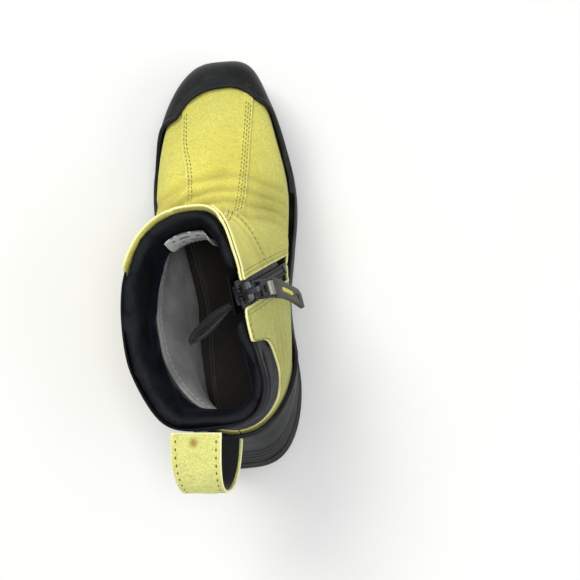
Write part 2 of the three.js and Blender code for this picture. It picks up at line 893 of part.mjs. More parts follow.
// The woven label is sewn to the inside of the collar, at the front.
const LABEL_THICK = 0.6;
const LABEL_GAP = 0.7;
add(
  "collar_label",
  shell({
    from: -0.08,
    to: 0.078,
    bottom: 0.83,
    top: 0.955,
    inner: liningInner - LABEL_GAP - LABEL_THICK,
    outer: liningInner - LABEL_GAP,
    columns: 10,
    rows: 4,
  }),
  labelGrey,
);

// ---- Zip ----
// Its own frame has +X down the zip, +Y across it towards the toe and +Z out of the boot.

const zip = new THREE.Group();
const down = new THREE.Vector3().subVectors(zipBottom, zipTop).normalize();
const middleLevel = (1 + zipBottomLevel) / 2;
const facing = skinNormal(zipTurn(middleLevel), middleLevel);
const across = new THREE.Vector3().crossVectors(facing, down).normalize();
const out = new THREE.Vector3().crossVectors(down, across);
zip.position.copy(zipTop);
zip.quaternion.setFromRotationMatrix(new THREE.Matrix4().makeBasis(down, across, out));
boot.add(zip);

const TAPE_DEPTH = SUEDE + 1.6; // from the skin to the tape's face
const chainZ = -(TAPE_DEPTH + TAPE_THICK / 2);
const STOP_LENGTH = 3;
const POST_LENGTH = 3;
const chainStart = STOP_LENGTH + SLIDER_CLEARANCE + POST_LENGTH + SLIDER_CLEARANCE;
const chainEnd = zipLength - STOP_LENGTH - REST_GAP;
const chainHalf = CHAIN_WIDTH / 2;
const SPINE = 1.4;

function teethRow(side) {
  const toward = side > 0 ? 0 : TOOTH_PITCH / 2;
  const [z0, z1] = [chainZ - CHAIN_THICK / 2, chainZ + CHAIN_THICK / 2];
  const ordered = (a, b) => [Math.min(a, b), Math.max(a, b)];
  const [s0, s1] = ordered(side * chainHalf, side * (chainHalf - SPINE));
  const spine = boxBetween([chainStart, s0, z0 + 0.3], [chainEnd, s1, z1 - 0.3]);
  const [t0, t1] = ordered(side * (chainHalf - SPINE / 2), -side * 1.1);
  const teeth = [];
  for (let x = chainStart + toward; x + TOOTH_LENGTH < chainEnd; x += TOOTH_PITCH) {
    teeth.push(boxBetween([x, t0, z0], [x + TOOTH_LENGTH, t1, z1]));
  }
  return joined(spine, ...teeth);
}
add("zip_teeth_front", teethRow(1), plasticBlack, zip);
add("zip_teeth_rear", teethRow(-1), plasticBlack, zip);
add(
  "zip_bottom_stop",
  boxBetween(
    [zipLength - STOP_LENGTH, -chainHalf, chainZ - CHAIN_THICK / 2],
    [zipLength, chainHalf, chainZ + CHAIN_THICK / 2],
  ),
  metalDark,
  zip,
);
for (const [name, side] of [
  ["zip_top_stop_front", 1],
  ["zip_top_stop_rear", -1],
]) {
  const edges = [side * 1.3, side * chainHalf].sort((a, b) => a - b);
  const low = [0, edges[0], chainZ - CHAIN_THICK / 2];
  add(name, boxBetween(low, [STOP_LENGTH, edges[1], chainZ + CHAIN_THICK / 2]), metalDark, zip);
}

// A tape runs along each side of the chain, behind the edges of the suede.
const tapeInner = chainHalf + 0.3;
for (const [name, side] of [
  ["zip_tape_front", 1],
  ["zip_tape_rear", -1],
]) {
  const edges = [side * tapeInner, side * (tapeInner + TAPE_WIDTH)].sort((a, b) => a - b);
  const low = [0.5, edges[0], chainZ - TAPE_THICK / 2];
  add(name, boxBetween(low, [zipLength - 4 * STOP_LENGTH, edges[1], chainZ + TAPE_THICK / 2]), tapeBlack, zip);
}

// ---- Slider and its puller ----

const slider = new THREE.Group();
slider.position.x = STOP_LENGTH + SLIDER_CLEARANCE / 2;
zip.add(slider);

const channelHalf = chainHalf + SLIDER_CLEARANCE;
const sliderHalf = channelHalf + SLIDER_WALL;
const channelTop = chainZ + CHAIN_THICK / 2 + SLIDER_CLEARANCE;
const channelFloor = chainZ - CHAIN_THICK / 2 - SLIDER_CLEARANCE;
const sliderTop = channelTop + SLIDER_WALL;
const sliderFloor = channelFloor - SLIDER_WALL;
const slotHalf = TAPE_THICK / 2 + SLIDER_CLEARANCE;

function sliderBody() {
  const outline = new THREE.Shape();
  const tail = sliderHalf * 0.8;
  outline.moveTo(0, -sliderHalf);
  outline.lineTo(SLIDER_LENGTH * 0.5, -sliderHalf);
  outline.quadraticCurveTo(SLIDER_LENGTH, -sliderHalf, SLIDER_LENGTH, -tail + 1);
  outline.lineTo(SLIDER_LENGTH, tail - 1);
  outline.quadraticCurveTo(SLIDER_LENGTH, sliderHalf, SLIDER_LENGTH * 0.5, sliderHalf);
  outline.lineTo(0, sliderHalf);
  outline.closePath();
  const block = new THREE.ExtrudeGeometry(outline, {
    depth: sliderTop - sliderFloor,
    bevelEnabled: false,
    curveSegments: 5,
  });
  block.translate(0, 0, sliderFloor);
  const channel = boxBetween([-1, -channelHalf, channelFloor], [SLIDER_LENGTH + 1, channelHalf, channelTop]);
  const slotLow = [-1, -sliderHalf - 1, chainZ - slotHalf];
  const slots = boxBetween(slotLow, [SLIDER_LENGTH + 1, sliderHalf + 1, chainZ + slotHalf]);
  const post = boxBetween([0, -1, sliderFloor + 0.1], [POST_LENGTH, 1, sliderTop - 0.1]);
  return joined(cut(block, channel, slots), post);
}

// The bridge on the slider's back carries the link of the puller.
const BRIDGE_LEG = 1.4;
const BRIDGE_HALF = 1.6;
const PIVOT_RISE = 3.2;
const BAR_RADIUS = 0.8;
const bridgeBack = 3;
const bridgeFront = 11;
const bridgeTop = sliderTop + PIVOT_RISE + BAR_RADIUS + 2.6;
const leg = (x) => boxBetween([x, -BRIDGE_HALF, sliderTop - 0.5], [x + BRIDGE_LEG, BRIDGE_HALF, bridgeTop]);
const span = boxBetween(
  [bridgeBack, -BRIDGE_HALF, bridgeTop - BRIDGE_LEG],
  [bridgeFront, BRIDGE_HALF, bridgeTop],
);
add("zip_slider", joined(sliderBody(), leg(bridgeBack), leg(bridgeFront - BRIDGE_LEG), span), metalDark, slider);

// The link turns on the bridge. It hangs a little askew, towards the heel.
const LINK_HALF = 6.2;
const LINK_ARM = 1.4;
const LINK_THICK = 1.5;
const LINK_LENGTH = 16.5;
const LINK_SKEW = THREE.MathUtils.degToRad(-12);
const LINK_LIFT = THREE.MathUtils.degToRad(20); // how far the puller stands off the zip at rest
const link = new THREE.Group();
link.position.set((bridgeBack + bridgeFront) / 2, 0, sliderTop + PIVOT_RISE);
link.rotation.set(0, -LINK_LIFT, LINK_SKEW, "ZYX");
slider.add(link);

// A round bar across the puller at a distance from its pivot.
function bar(x, radius, half) {
  return new THREE.CylinderGeometry(radius, radius, 2 * half, 10).translate(x, 0, 0);
}

const linkNeck = 6.8;
const linkPlateEnd = LINK_LENGTH - BARREL_RADIUS - 0.5;
function linkBody() {
  const arm = (side) => {
    const edges = [side * LINK_HALF, side * (LINK_HALF - LINK_ARM)].sort((a, b) => a - b);
    return boxBetween([-BAR_RADIUS, edges[0], -LINK_THICK / 2], [LINK_LENGTH + 1.2, edges[1], LINK_THICK / 2]);
  };
  const edge = LINK_HALF - LINK_ARM / 2;
  const plate = boxBetween([linkNeck, -edge, -LINK_THICK / 2], [linkPlateEnd, edge, LINK_THICK / 2]);
  const window = boxBetween([linkNeck + 1.6, -2.2, -LINK_THICK], [linkPlateEnd - 1.6, 2.2, LINK_THICK]);
  return joined(arm(-1), arm(1), cut(plate, window), bar(0, BAR_RADIUS, edge), bar(LINK_LENGTH, BAR_RADIUS, edge));
}
add("puller_link", linkBody(), metalDark, link);

const grip = new THREE.Group();
grip.position.x = LINK_LENGTH;
link.add(grip);

const BARREL_GAP = 0.35;
const barrelHalf = LINK_HALF - LINK_ARM - BARREL_GAP;
const bore = bar(0, BAR_RADIUS + BARREL_GAP, barrelHalf + 1);
add("puller_barrel", cut(bar(0, BARREL_RADIUS, barrelHalf), bore), barrelGrey, grip);

// The grip is a moulded tongue that curves towards the heel, with a long slot and a hole at its end.
const GRIP_THICK = 2.6;
const GRIP_BEND = -0.42;
function gripBody() {
  const start = BARREL_RADIUS + BARREL_GAP;
  const centre = (x) => GRIP_BEND * GRIP_LENGTH * ((x - start) / GRIP_LENGTH) ** 1.6;
  const steps = 10;
  const half = (x) => (GRIP_WIDTH / 2) * (1 - 0.12 * Math.sin((Math.PI * (x - start)) / GRIP_LENGTH));
  const shape = new THREE.Shape();
  const edge = (side) => {
    const list = [];
    for (let i = 0; i <= steps; i++) {
      const x = start + ((GRIP_LENGTH - 2) * i) / steps;
      list.push([x, centre(x) + side * half(x)]);
    }
    return list;
  };
  const tip = start + GRIP_LENGTH;
  const round = [
    [tip, centre(tip) - GRIP_WIDTH / 3],
    [tip, centre(tip) + GRIP_WIDTH / 3],
  ];
  const outline = [...edge(-1), ...round, ...edge(1).reverse()];
  shape.setFromPoints([...outline, outline[0]].map(([x, y]) => new THREE.Vector2(x, y)));
  const slot = (from, to, halfSlot) => {
    const hole = [];
    for (const side of [1, -1]) {
      for (let i = 0; i <= 3; i++) {
        const x = side > 0 ? mix(from, to, i / 3) : mix(to, from, i / 3);
        hole.push(new THREE.Vector2(x, centre(x) + side * halfSlot));
      }
    }
    hole.push(hole[0].clone());
    return new THREE.Path().setFromPoints(hole);
  };
  shape.holes.push(slot(start + 7, start + 17, 1.7), slot(start + 19.5, start + 22.5, 1.7));
  const body = new THREE.ExtrudeGeometry(shape, { depth: GRIP_THICK, bevelEnabled: false });
  return body.translate(0, 0, -GRIP_THICK / 2);
}
add("puller_grip", gripBody(), plasticBlack, grip);

// ---- Loops ----

// A strap bent along a path in its own XY plane and as wide as it is tall in Z.
function strap(path, thickness, width) {
  const outline = (shift) =>
    path.map((p, i) => {
      const before = path[Math.max(0, i - 1)];
      const after = path[Math.min(path.length - 1, i + 1)];
      const along = new THREE.Vector2().subVectors(after, before).normalize();
      return new THREE.Vector2(p.x - along.y * shift, p.y + along.x * shift);
    });
  const edge = [...outline(thickness / 2), ...outline(-thickness / 2).reverse()];
  const shape = new THREE.Shape([...edge, edge[0].clone()]);
  const body = new THREE.ExtrudeGeometry(shape, { depth: width, bevelEnabled: false });
  return body.translate(0, 0, -width / 2);
}

// Half an oval standing on the Y axis, from its top end round to its bottom end.
function halfOval(reach, height, steps) {
  const path = [];
  for (let i = 0; i <= steps; i++) {
    const angle = Math.PI * (0.5 - i / steps);
    path.push(new THREE.Vector2(reach * Math.cos(angle) ** 0.8, (height / 2) * Math.sin(angle)));
  }
  return path;
}

const LOOP_SUEDE = 1.6;
const LOOP_OFF_CENTRE = 9; // the loop is sewn on the lateral side of the back seam
const LOOP_LEAN = THREE.MathUtils.degToRad(14); // the loop's lower end is nearer the medial side
const LOOP_YAW = THREE.MathUtils.degToRad(7); // the loop points a little to the lateral side
const loopLevel = 0.82;
const loopRoot = skin(0.5, loopLevel);
const heelLoop = new THREE.Group();
const LOOP_CLEARANCE = 1.6; // keeps the leaning loop off the curve of the collar
heelLoop.position.set(loopRoot.x - LOOP_OFF_CENTRE, backY(1) - LOOP_CLEARANCE, loopRoot.z);
// Turned so that the oval stands up and reaches out behind the heel.
heelLoop.rotation.set(Math.PI / 2, 0, -Math.PI / 2 - LOOP_YAW, "ZYX");
const heelLoopLean = new THREE.Group();
heelLoopLean.rotation.x = LOOP_LEAN;
heelLoop.add(heelLoopLean);
boot.add(heelLoop);
const outerPath = halfOval(HEEL_LOOP_REACH, HEEL_LOOP_HEIGHT, 16);
const lost = LOOP_SUEDE / 2 + WEBBING / 2 + REST_GAP;
const innerPath = halfOval(HEEL_LOOP_REACH - lost, HEEL_LOOP_HEIGHT - 2 * lost, 16);
add("heel_loop_suede", strap(outerPath, LOOP_SUEDE, HEEL_LOOP_WIDTH), suedeYellow, heelLoopLean);
add("heel_loop_webbing", strap(innerPath, WEBBING, HEEL_LOOP_WIDTH - 3), tapeBlack, heelLoopLean);

// The finger loop is a folded tape. Both of its ends are sewn inside the collar, behind the top of the zip.
function teardrop(length, width, steps) {
  const path = [];
  for (let i = 0; i <= steps; i++) {
    const angle = 2 * Math.PI * (i / steps);
    const x = (length * (1 - Math.cos(angle))) / 2;
    const y = (width / 2) * Math.sin(angle) * Math.sin(angle / 2) ** 0.6;
    path.push(new THREE.Vector2(x, y + (i < steps / 2 ? 1 : -1) * (WEBBING / 2 + 0.1) * (1 - Math.sin(angle / 2))));
  }
  return path;
}
const fingerLoop = new THREE.Group();
const fingerLevel = 0.93;
const fingerTurn = zipTurn(fingerLevel, 7);
const fingerNormal = skinNormal(fingerTurn, fingerLevel);
fingerLoop.position.copy(offSkin(fingerTurn, fingerLevel, gussetOuter - GUSSET - FINGER_LOOP_WIDTH * 0.35));
const fingerHeading = Math.atan2(-fingerNormal.y, -fingerNormal.x) + THREE.MathUtils.degToRad(38);
fingerLoop.rotation.z = fingerHeading;
boot.add(fingerLoop);
add("finger_loop", strap(teardrop(FINGER_LOOP_LENGTH, 9, 24), WEBBING, FINGER_LOOP_WIDTH), tapeBlack, fingerLoop);

export default boot;
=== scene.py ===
import math

import bpy
import numpy as np
from mathutils import Matrix, Vector


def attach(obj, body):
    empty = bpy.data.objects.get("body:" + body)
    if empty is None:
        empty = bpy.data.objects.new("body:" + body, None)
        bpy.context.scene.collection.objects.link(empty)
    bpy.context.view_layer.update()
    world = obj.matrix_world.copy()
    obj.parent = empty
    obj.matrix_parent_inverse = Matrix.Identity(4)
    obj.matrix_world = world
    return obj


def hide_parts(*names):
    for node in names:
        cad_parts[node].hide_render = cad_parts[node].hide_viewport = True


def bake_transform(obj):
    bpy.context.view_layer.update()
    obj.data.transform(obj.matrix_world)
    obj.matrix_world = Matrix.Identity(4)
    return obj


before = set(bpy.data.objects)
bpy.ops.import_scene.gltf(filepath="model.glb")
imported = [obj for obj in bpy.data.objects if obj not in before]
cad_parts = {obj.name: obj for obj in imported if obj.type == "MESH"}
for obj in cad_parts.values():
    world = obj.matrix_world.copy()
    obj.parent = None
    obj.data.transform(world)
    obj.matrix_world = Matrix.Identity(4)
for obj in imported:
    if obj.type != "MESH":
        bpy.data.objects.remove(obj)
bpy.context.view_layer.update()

MM = 0.001
SMOOTH_ANGLE = math.radians(40)

# ---- The boot's sizes, in millimetres, as in the CAD model ----

SOLE_LENGTH = 300
HEEL_BACK = 42
HEEL_WIDTH = 82
BALL_WIDTH = 106
WELT = 5.5
HEEL_STACK = 30
BALL_STACK = 22
TOE_SPRING = 9
LUG_DEPTH = 5
RUBBER = 4
RIM_BACK_HEIGHT = 143
RIM_FRONT_HEIGHT = 165
COLLAR_LENGTH = 134
COLLAR_WIDTH = 86
COLLAR_LEAN = 23
TOE_BOX = 37
SUEDE = 1.8
COLLAR_PAD = 8.6
REST_GAP = 0.4
RAND = 2.5
RAND_GAP = 1.2
ZIP_FOLD = 9
ZIP_BOTTOM_HEIGHT = 62
ZIP_OPENING = 8.5
CHAIN_WIDTH = 7.6
CHAIN_THICK = 3
TAPE_THICK = 0.8
LINING_INNER = -(SUEDE + 1 + COLLAR_PAD)


def mix(a, b, share):
    return a + (b - a) * share


def smooth(low, high, x):
    k = np.clip((np.asarray(x, float) - low) / (high - low), 0, 1)
    return k * k * (3 - 2 * k)


def bump(x, centre, half_width):
    """A smooth hump, 1 at the centre and 0 from half_width away."""
    k = np.clip(1 - ((np.asarray(x, float) - centre) / half_width) ** 2, 0, 1)
    return k * k


def through(stations, x):
    """A smooth curve through (x, value) stations."""
    xs, values = np.array(stations, float).T
    last = len(xs) - 1
    order = np.arange(last + 1)
    before, after = np.maximum(order - 1, 0), np.minimum(order + 1, last)
    slope = (values[after] - values[before]) / (xs[after] - xs[before])
    x = np.clip(np.asarray(x, float), xs[0], xs[-1])
    i = np.clip(np.searchsorted(xs, x, side="left") - 1, 0, last - 1)
    h = xs[i + 1] - xs[i]
    k = (x - xs[i]) / h
    rise = values[i] * (1 + 2 * k) + h * slope[i] * k
    fall = values[i + 1] * (3 - 2 * k) - h * slope[i + 1] * (1 - k)
    return rise * (1 - k) ** 2 + fall * k * k


# ---- Random but repeatable unevenness ----


def lattice(cells, seed):
    """A fixed pseudo-random value from 0 to 1 for each integer cell."""
    x, y, z = (cells[..., k].astype(np.int64) for k in range(3))
    mixed = (x * 374761393 + y * 668265263 + z * 2147483647 + seed * 1274126177) & 0xFFFFFFFF
    mixed = ((mixed ^ (mixed >> 13)) * 1103515245) & 0xFFFFFFFF
    return ((mixed ^ (mixed >> 16)) & 0xFFFF) / 65535


def unevenness(points, size, seed):
    """Smooth noise from -1 to 1 whose lumps are about size mm across."""
    spot = points / size
    cell = np.floor(spot).astype(np.int64)
    part = spot - cell
    part = part * part * (3 - 2 * part)
    total = 0
    for corner in np.ndindex(2, 2, 2):
        near = np.array(corner)
        weight = np.prod(np.where(near == 1, part, 1 - part), axis=-1)
        total = total + weight * lattice(cell + near, seed)
    return total * 2 - 1


# ---- The skin: the outer surface of the upper, as in the CAD model ----
# Levels run from 0 at the sole to 1 at the rim.
# Turns run from 0 at the front to 0.5 at the back over the medial side,
# and to -0.5 over the lateral side.

TOP_LEVEL = 8
SOLE_BACK = -HEEL_BACK
RIM_BACK = SOLE_BACK + 17
RIM_FRONT = RIM_BACK + COLLAR_LENGTH
TOE_TOP = HEEL_STACK + TOE_BOX
HEEL_HALF = HEEL_WIDTH / 2 - WELT
BALL_HALF = BALL_WIDTH / 2 - WELT


def at_level(values):
    return [(i / TOP_LEVEL, value) for i, value in enumerate(values)]


BACK_Y = at_level([SOLE_BACK + inset for inset in (WELT, 9.5, 13.5, 17, 19.5, 20.5, 20.5, 19, 17)])
BACK_RISE = (0, 0.14, 0.28, 0.4, 0.51, 0.63, 0.77, 0.89, 1)
BACK_Z = at_level([mix(HEEL_STACK, RIM_BACK_HEIGHT, share) for share in BACK_RISE])
VAMP_Y = [SOLE_BACK + share * SOLE_LENGTH for share in (0.967, 0.928, 0.823, 0.707)]
FRONT_Y = at_level(
    [SOLE_BACK + SOLE_LENGTH - WELT, *VAMP_Y, RIM_FRONT + 31, RIM_FRONT + 9, RIM_FRONT - 1, RIM_FRONT]
)
TOE_RISE = [mix(HEEL_STACK, TOE_TOP, share) for share in (0, 0.42, 0.76, 1)]
SHAFT_RISE = [mix(TOE_TOP, RIM_FRONT_HEIGHT, share) for share in (0.1, 0.245, 0.47, 0.745, 1)]
FRONT_Z = at_level([*TOE_RISE, *SHAFT_RISE])
FOOT_HALF_WIDTH = [
    (0, 1.317 * HEEL_HALF),
    (0.14, 1.244 * HEEL_HALF),
    (0.25, 1.1 * HEEL_HALF),
    (0.38, 0.76 * BALL_HALF),
    (0.5, 0.87 * BALL_HALF),
    (0.62, 1.01 * BALL_HALF),
    (0.7, 1.047 * BALL_HALF),
    (0.8, 1.01 * BALL_HALF),
    (0.873, 0.958 * BALL_HALF),
    (0.94, 0.868 * BALL_HALF),
    (1, 0.81 * BALL_HALF),
]
SHAFT_SHARES = (0.95, 1, 1.047, 1.058, 1.058, 1.047, 1.023, 1.01, 1)
SHAFT_HALF_WIDTH = at_level([share * COLLAR_WIDTH / 2 for share in SHAFT_SHARES])
SHAFT_SHARE = at_level([0, 0.35, 0.6, 0.8, 0.95, 1, 1, 1, 1])
BLUNTNESS = at_level([0.62, 0.64, 0.68, 0.8, 0.86, 0.86, 0.82, 0.77, 0.75])
LEAN = at_level([-share * COLLAR_LEAN for share in (0, 0, 0.043, 0.13, 0.26, 0.435, 0.652, 0.826, 1)])
TOE_SHIFT = at_level([8, 8, 8, 7, 5, 4, 5, 6, 7])


def toe_lift(y):
    return TOE_SPRING * np.clip((y - 0.52 * SOLE_LENGTH) / (0.34 * SOLE_LENGTH), 0, 1) ** 2


def sole_top(y):
    return mix(HEEL_STACK, BALL_STACK, smooth(0.05, 0.46, y / SOLE_LENGTH)) + toe_lift(y)


def level_height(share, y, level):
    flat = mix(through(BACK_Z, level), through(FRONT_Z, level), share)
    at_sole = sole_top(y) + REST_GAP - mix(through(BACK_Z, 0), through(FRONT_Z, 0), share)
    return flat + at_sole * (1 - smooth(0, 2 / TOP_LEVEL, level))


def middle_x(share, level):
    back = mix(0.5, 0.75, smooth(0.5, 1, level))
    return through(LEAN, level) * mix(back, 1, smooth(0, 0.35, share)) + through(TOE_SHIFT, level) * share**8


def half_width(share, level):
    rounded = 2 * np.sqrt(np.maximum(0, share * (1 - share)))
    foot, shaft = through(FOOT_HALF_WIDTH, share), through(SHAFT_HALF_WIDTH, level)
    width = mix(foot, shaft, through(SHAFT_SHARE, level))
    square_back = 0.25 * smooth(0.5, 1, level) * (1 - smooth(0.05, 0.5, share))
    square_toe = 0.1 * smooth(0.6, 0.95, share) * (1 - smooth(0.15, 0.5, level))
    return width * rounded ** (through(BLUNTNESS, level) - square_back - square_toe)


def share_at(y, level):
    return (y - through(BACK_Y, level)) / (through(FRONT_Y, level) - through(BACK_Y, level))


def find(test, low, high):
    """The place between low and high where test stops being true."""
    for _ in range(40):
        middle = (low + high) / 2
        if test(middle):
            low = middle
        else:
            high = middle
    return low


ZIP_TOP_SHARE = 0.58
zip_top_y = RIM_BACK + ZIP_TOP_SHARE * COLLAR_LENGTH
zip_top = np.array([
    middle_x(ZIP_TOP_SHARE, 1) + half_width(ZIP_TOP_SHARE, 1) - ZIP_FOLD,
    zip_top_y,
    level_height(ZIP_TOP_SHARE, zip_top_y, 1),
])
zip_bottom_y = zip_top_y + 0.12 * SOLE_LENGTH
zip_bottom_level = find(
    lambda level: level_height(share_at(zip_bottom_y, level), zip_bottom_y, level) < ZIP_BOTTOM_HEIGHT, 0, 1
)
zip_bottom_share = share_at(zip_bottom_y, zip_bottom_level)
zip_bottom = np.array([
    middle_x(zip_bottom_share, zip_bottom_level) + half_width(zip_bottom_share, zip_bottom_level),
    zip_bottom_y,
    ZIP_BOTTOM_HEIGHT,
])
zip_length = float(np.linalg.norm(zip_bottom - zip_top))


class Skin:
    """The upper's surface as a fine grid, read at any turn and level."""

    LEVEL_STEPS = 160
    TURN_STEPS = 960
    OUTLINE_STEPS = 360

    def __init__(self):
        self.levels = np.linspace(0, 1, self.LEVEL_STEPS + 1)
        turns = np.linspace(-0.5, 0.5, self.TURN_STEPS + 1)
        rows, self.zip_run, self.length = [], [], {1: [], -1: []}
        for level in self.levels:
            halves, zip_run = self.outline(level)
            self.zip_run.append(zip_run)
            row = np.zeros((len(turns), 3))
            for side, (points, run) in halves.items():
                self.length[side].append(run[-1])
                picked = turns * side >= 0
                distance = np.abs(turns[picked]) * 2 * run[-1]
                for k in range(3):
                    row[picked, k] = np.interp(distance, run, points[:, k])
            rows.append(row)
        self.place = np.array(rows)
        up = np.gradient(self.place, axis=0)
        wrapped = np.concatenate([self.place[:, -2:-1], self.place, self.place[:, 1:2]], axis=1)
        round_ = wrapped[:, 2:] - wrapped[:, :-2]
        normal = np.cross(up, round_)
        self.normal = normal / np.linalg.norm(normal, axis=-1, keepdims=True)
        self.up = up / np.linalg.norm(up, axis=-1, keepdims=True)

    def outline(self, level):
        def above(reach):
            point = mix(zip_top, zip_bottom, reach)
            return point[2] > level_height(share_at(point[1], level), point[1], level)

        crossing = mix(zip_top, zip_bottom, find(above, 0, 2))
        natural = half_width(share_at(crossing[1], level), level)
        drawn_in = 1
        if level > zip_bottom_level:
            drawn_in = (crossing[0] - middle_x(share_at(crossing[1], level), level)) / natural
        share = (1 + np.cos(np.linspace(0, math.pi, self.OUTLINE_STEPS + 1))) / 2
        y = mix(through(BACK_Y, level), through(FRONT_Y, level), share)
        halves = {}
        for side in (1, -1):
            pulled = mix(1, drawn_in, smooth(0.15, 0.5, share)) if side > 0 else 1
            x = middle_x(share, level) + side * pulled * half_width(share, level)
            points = np.stack([x, y, level_height(share, y, level)], axis=-1)
            run = np.concatenate([[0], np.cumsum(np.linalg.norm(np.diff(points, axis=0), axis=1))])
            halves[side] = (points, run)
        points, run = halves[1]
        return halves, float(np.interp(-crossing[1], -points[:, 1], run))

    def read(self, grid, turn, level):
        turn, level = np.broadcast_arrays(np.asarray(turn, float), np.asarray(level, float))
        column = (turn - np.round(turn) + 0.5) * self.TURN_STEPS
        row = np.clip(level, 0, 1) * self.LEVEL_STEPS
        c = np.clip(np.floor(column).astype(int), 0, self.TURN_STEPS - 1)
        r = np.clip(np.floor(row).astype(int), 0, self.LEVEL_STEPS - 1)
        s, t = (column - c)[..., None], (row - r)[..., None]
        low = mix(grid[r, c], grid[r, c + 1], s)
        return mix(low, mix(grid[r + 1, c], grid[r + 1, c + 1], s), t)

    def at(self, turn, level, offset=0.0, rise=0.0):
        """The point offset mm outside the skin, and rise mm along it, beyond the level asked for."""
        offset, rise = np.asarray(offset, float)[..., None], np.asarray(rise, float)[..., None]
        moved = offset * self.read(self.normal, turn, level) + rise * self.read(self.up, turn, level)
        return self.read(self.place, turn, level) + moved

    def half_length(self, side, level):
        return np.interp(level, self.levels, self.length[side])

    def turn_at(self, distance, level):
        """The turn that lies a distance in mm from the front, towards the medial side if it is above 0."""
        half = np.where(np.asarray(distance) < 0, self.half_length(-1, level), self.half_length(1, level))
        return distance / (2 * half)

    def zip_turn(self, level, distance=0):
        """The turn a distance behind the zip's centre line."""
        return (np.interp(level, self.levels, self.zip_run) + distance) / (2 * self.half_length(1, level))


skin = Skin()

# ---- Building meshes ----


def unit(vectors):
    return vectors / np.maximum(np.linalg.norm(vectors, axis=-1, keepdims=True), 1e-9)


def make_piece(name, points, faces, edge=None, uv=None):
    """A smooth mesh from points in mm, facing outwards. edge is each point's distance from a cut edge."""
    points = np.asarray(points, float)
    mesh = bpy.data.meshes.new(name)
    mesh.from_pydata((points * MM).tolist(), [], [list(map(int, face)) for face in faces])
    piece = bpy.data.objects.new(name, mesh)
    bpy.context.collection.objects.link(piece)
    if edge is not None:
        distances = mesh.attributes.new("edge", "FLOAT", "POINT")
        distances.data.foreach_set("value", np.ravel(edge).astype(np.float32))
    if uv is not None:
        corner = np.zeros(len(mesh.loops), int)
        mesh.loops.foreach_get("vertex_index", corner)
        layer = mesh.uv_layers.new(name="UVMap")
        layer.data.foreach_set("uv", (np.asarray(uv, float).reshape(-1, 2)[corner] * MM).ravel())
    turn_outwards(mesh)
    mesh.polygons.foreach_set("use_smooth", [True] * len(mesh.polygons))
    return piece


def turn_outwards(mesh):
    """Flips every face if the closed mesh is inside out."""
    mesh.calc_loop_triangles()
    corners = np.array([tri.vertices[:] for tri in mesh.loop_triangles])
    place = np.array([v.co[:] for v in mesh.vertices])
    a, b, c = place[corners[:, 0]], place[corners[:, 1]], place[corners[:, 2]]
    if np.einsum("ij,ij->i", a, np.cross(b, c)).sum() < 0:
        mesh.flip_normals()


def grid_faces(rows, columns, first=0, ring=False):
    """Quads over a grid of points stored row by row. A ring joins its last column to its first."""
    faces = []
    for r in range(rows - 1):
        for c in range(columns if ring else columns - 1):
            d = (c + 1) % columns
            low, high = first + r * columns, first + (r + 1) * columns
            faces.append((low + c, high + c, high + d, low + d))
    return faces


def slab_piece(name, outside, inside, edge, across, along, ring=False):
    """A closed sheet between two grids of points of the same shape."""
    rows, columns = outside.shape[:2]
    size = rows * columns
    faces = grid_faces(rows, columns, 0, ring)
    faces += [face[::-1] for face in grid_faces(rows, columns, size, ring)]
    last = (rows - 1) * columns
    for c in range(columns if ring else columns - 1):
        d = (c + 1) % columns
        faces.append((c, d, size + d, size + c))
        faces.append((last + c, size + last + c, size + last + d, last + d))
    if not ring:
        for r in range(rows - 1):
            a, b = r * columns, (r + 1) * columns
            faces.append((a, size + a, size + b, b))
            a, b = a + columns - 1, b + columns - 1
            faces.append((a, b, size + b, size + a))
    points = np.concatenate([outside.reshape(-1, 3), inside.reshape(-1, 3)])
    uv = np.stack([across, along], axis=-1).reshape(-1, 2)
    return make_piece(name, points, faces, np.tile(edge.ravel(), 2), np.tile(uv, (2, 1)))


def running(points, axis):
    """The distance run along an axis of a grid of points."""
    step = np.linalg.norm(np.diff(points, axis=axis), axis=-1)
    start = np.zeros_like(np.take(step, [0], axis=axis))
    return np.concatenate([start, np.cumsum(step, axis=axis)], axis=axis)


EDGE_STEPS = (0.2, 0.55, 1.0, 1.6, 2.2, 2.9, 3.6, 4.3, 5.0, 5.8, 7.0)


def shares(count, size):
    """Shares from 0 to 1, closer together beside the edges of a sheet that is size mm across."""
    near = [step / size for step in EDGE_STEPS if step < size * 0.3]
    middle = np.linspace(near[-1], 1 - near[-1], count)
    return np.concatenate([[0], near[:-1], middle, [1 - n for n in near[-2::-1]], [1]])


def as_function(value):
    return value if callable(value) else lambda x: np.full(np.shape(x), float(value))


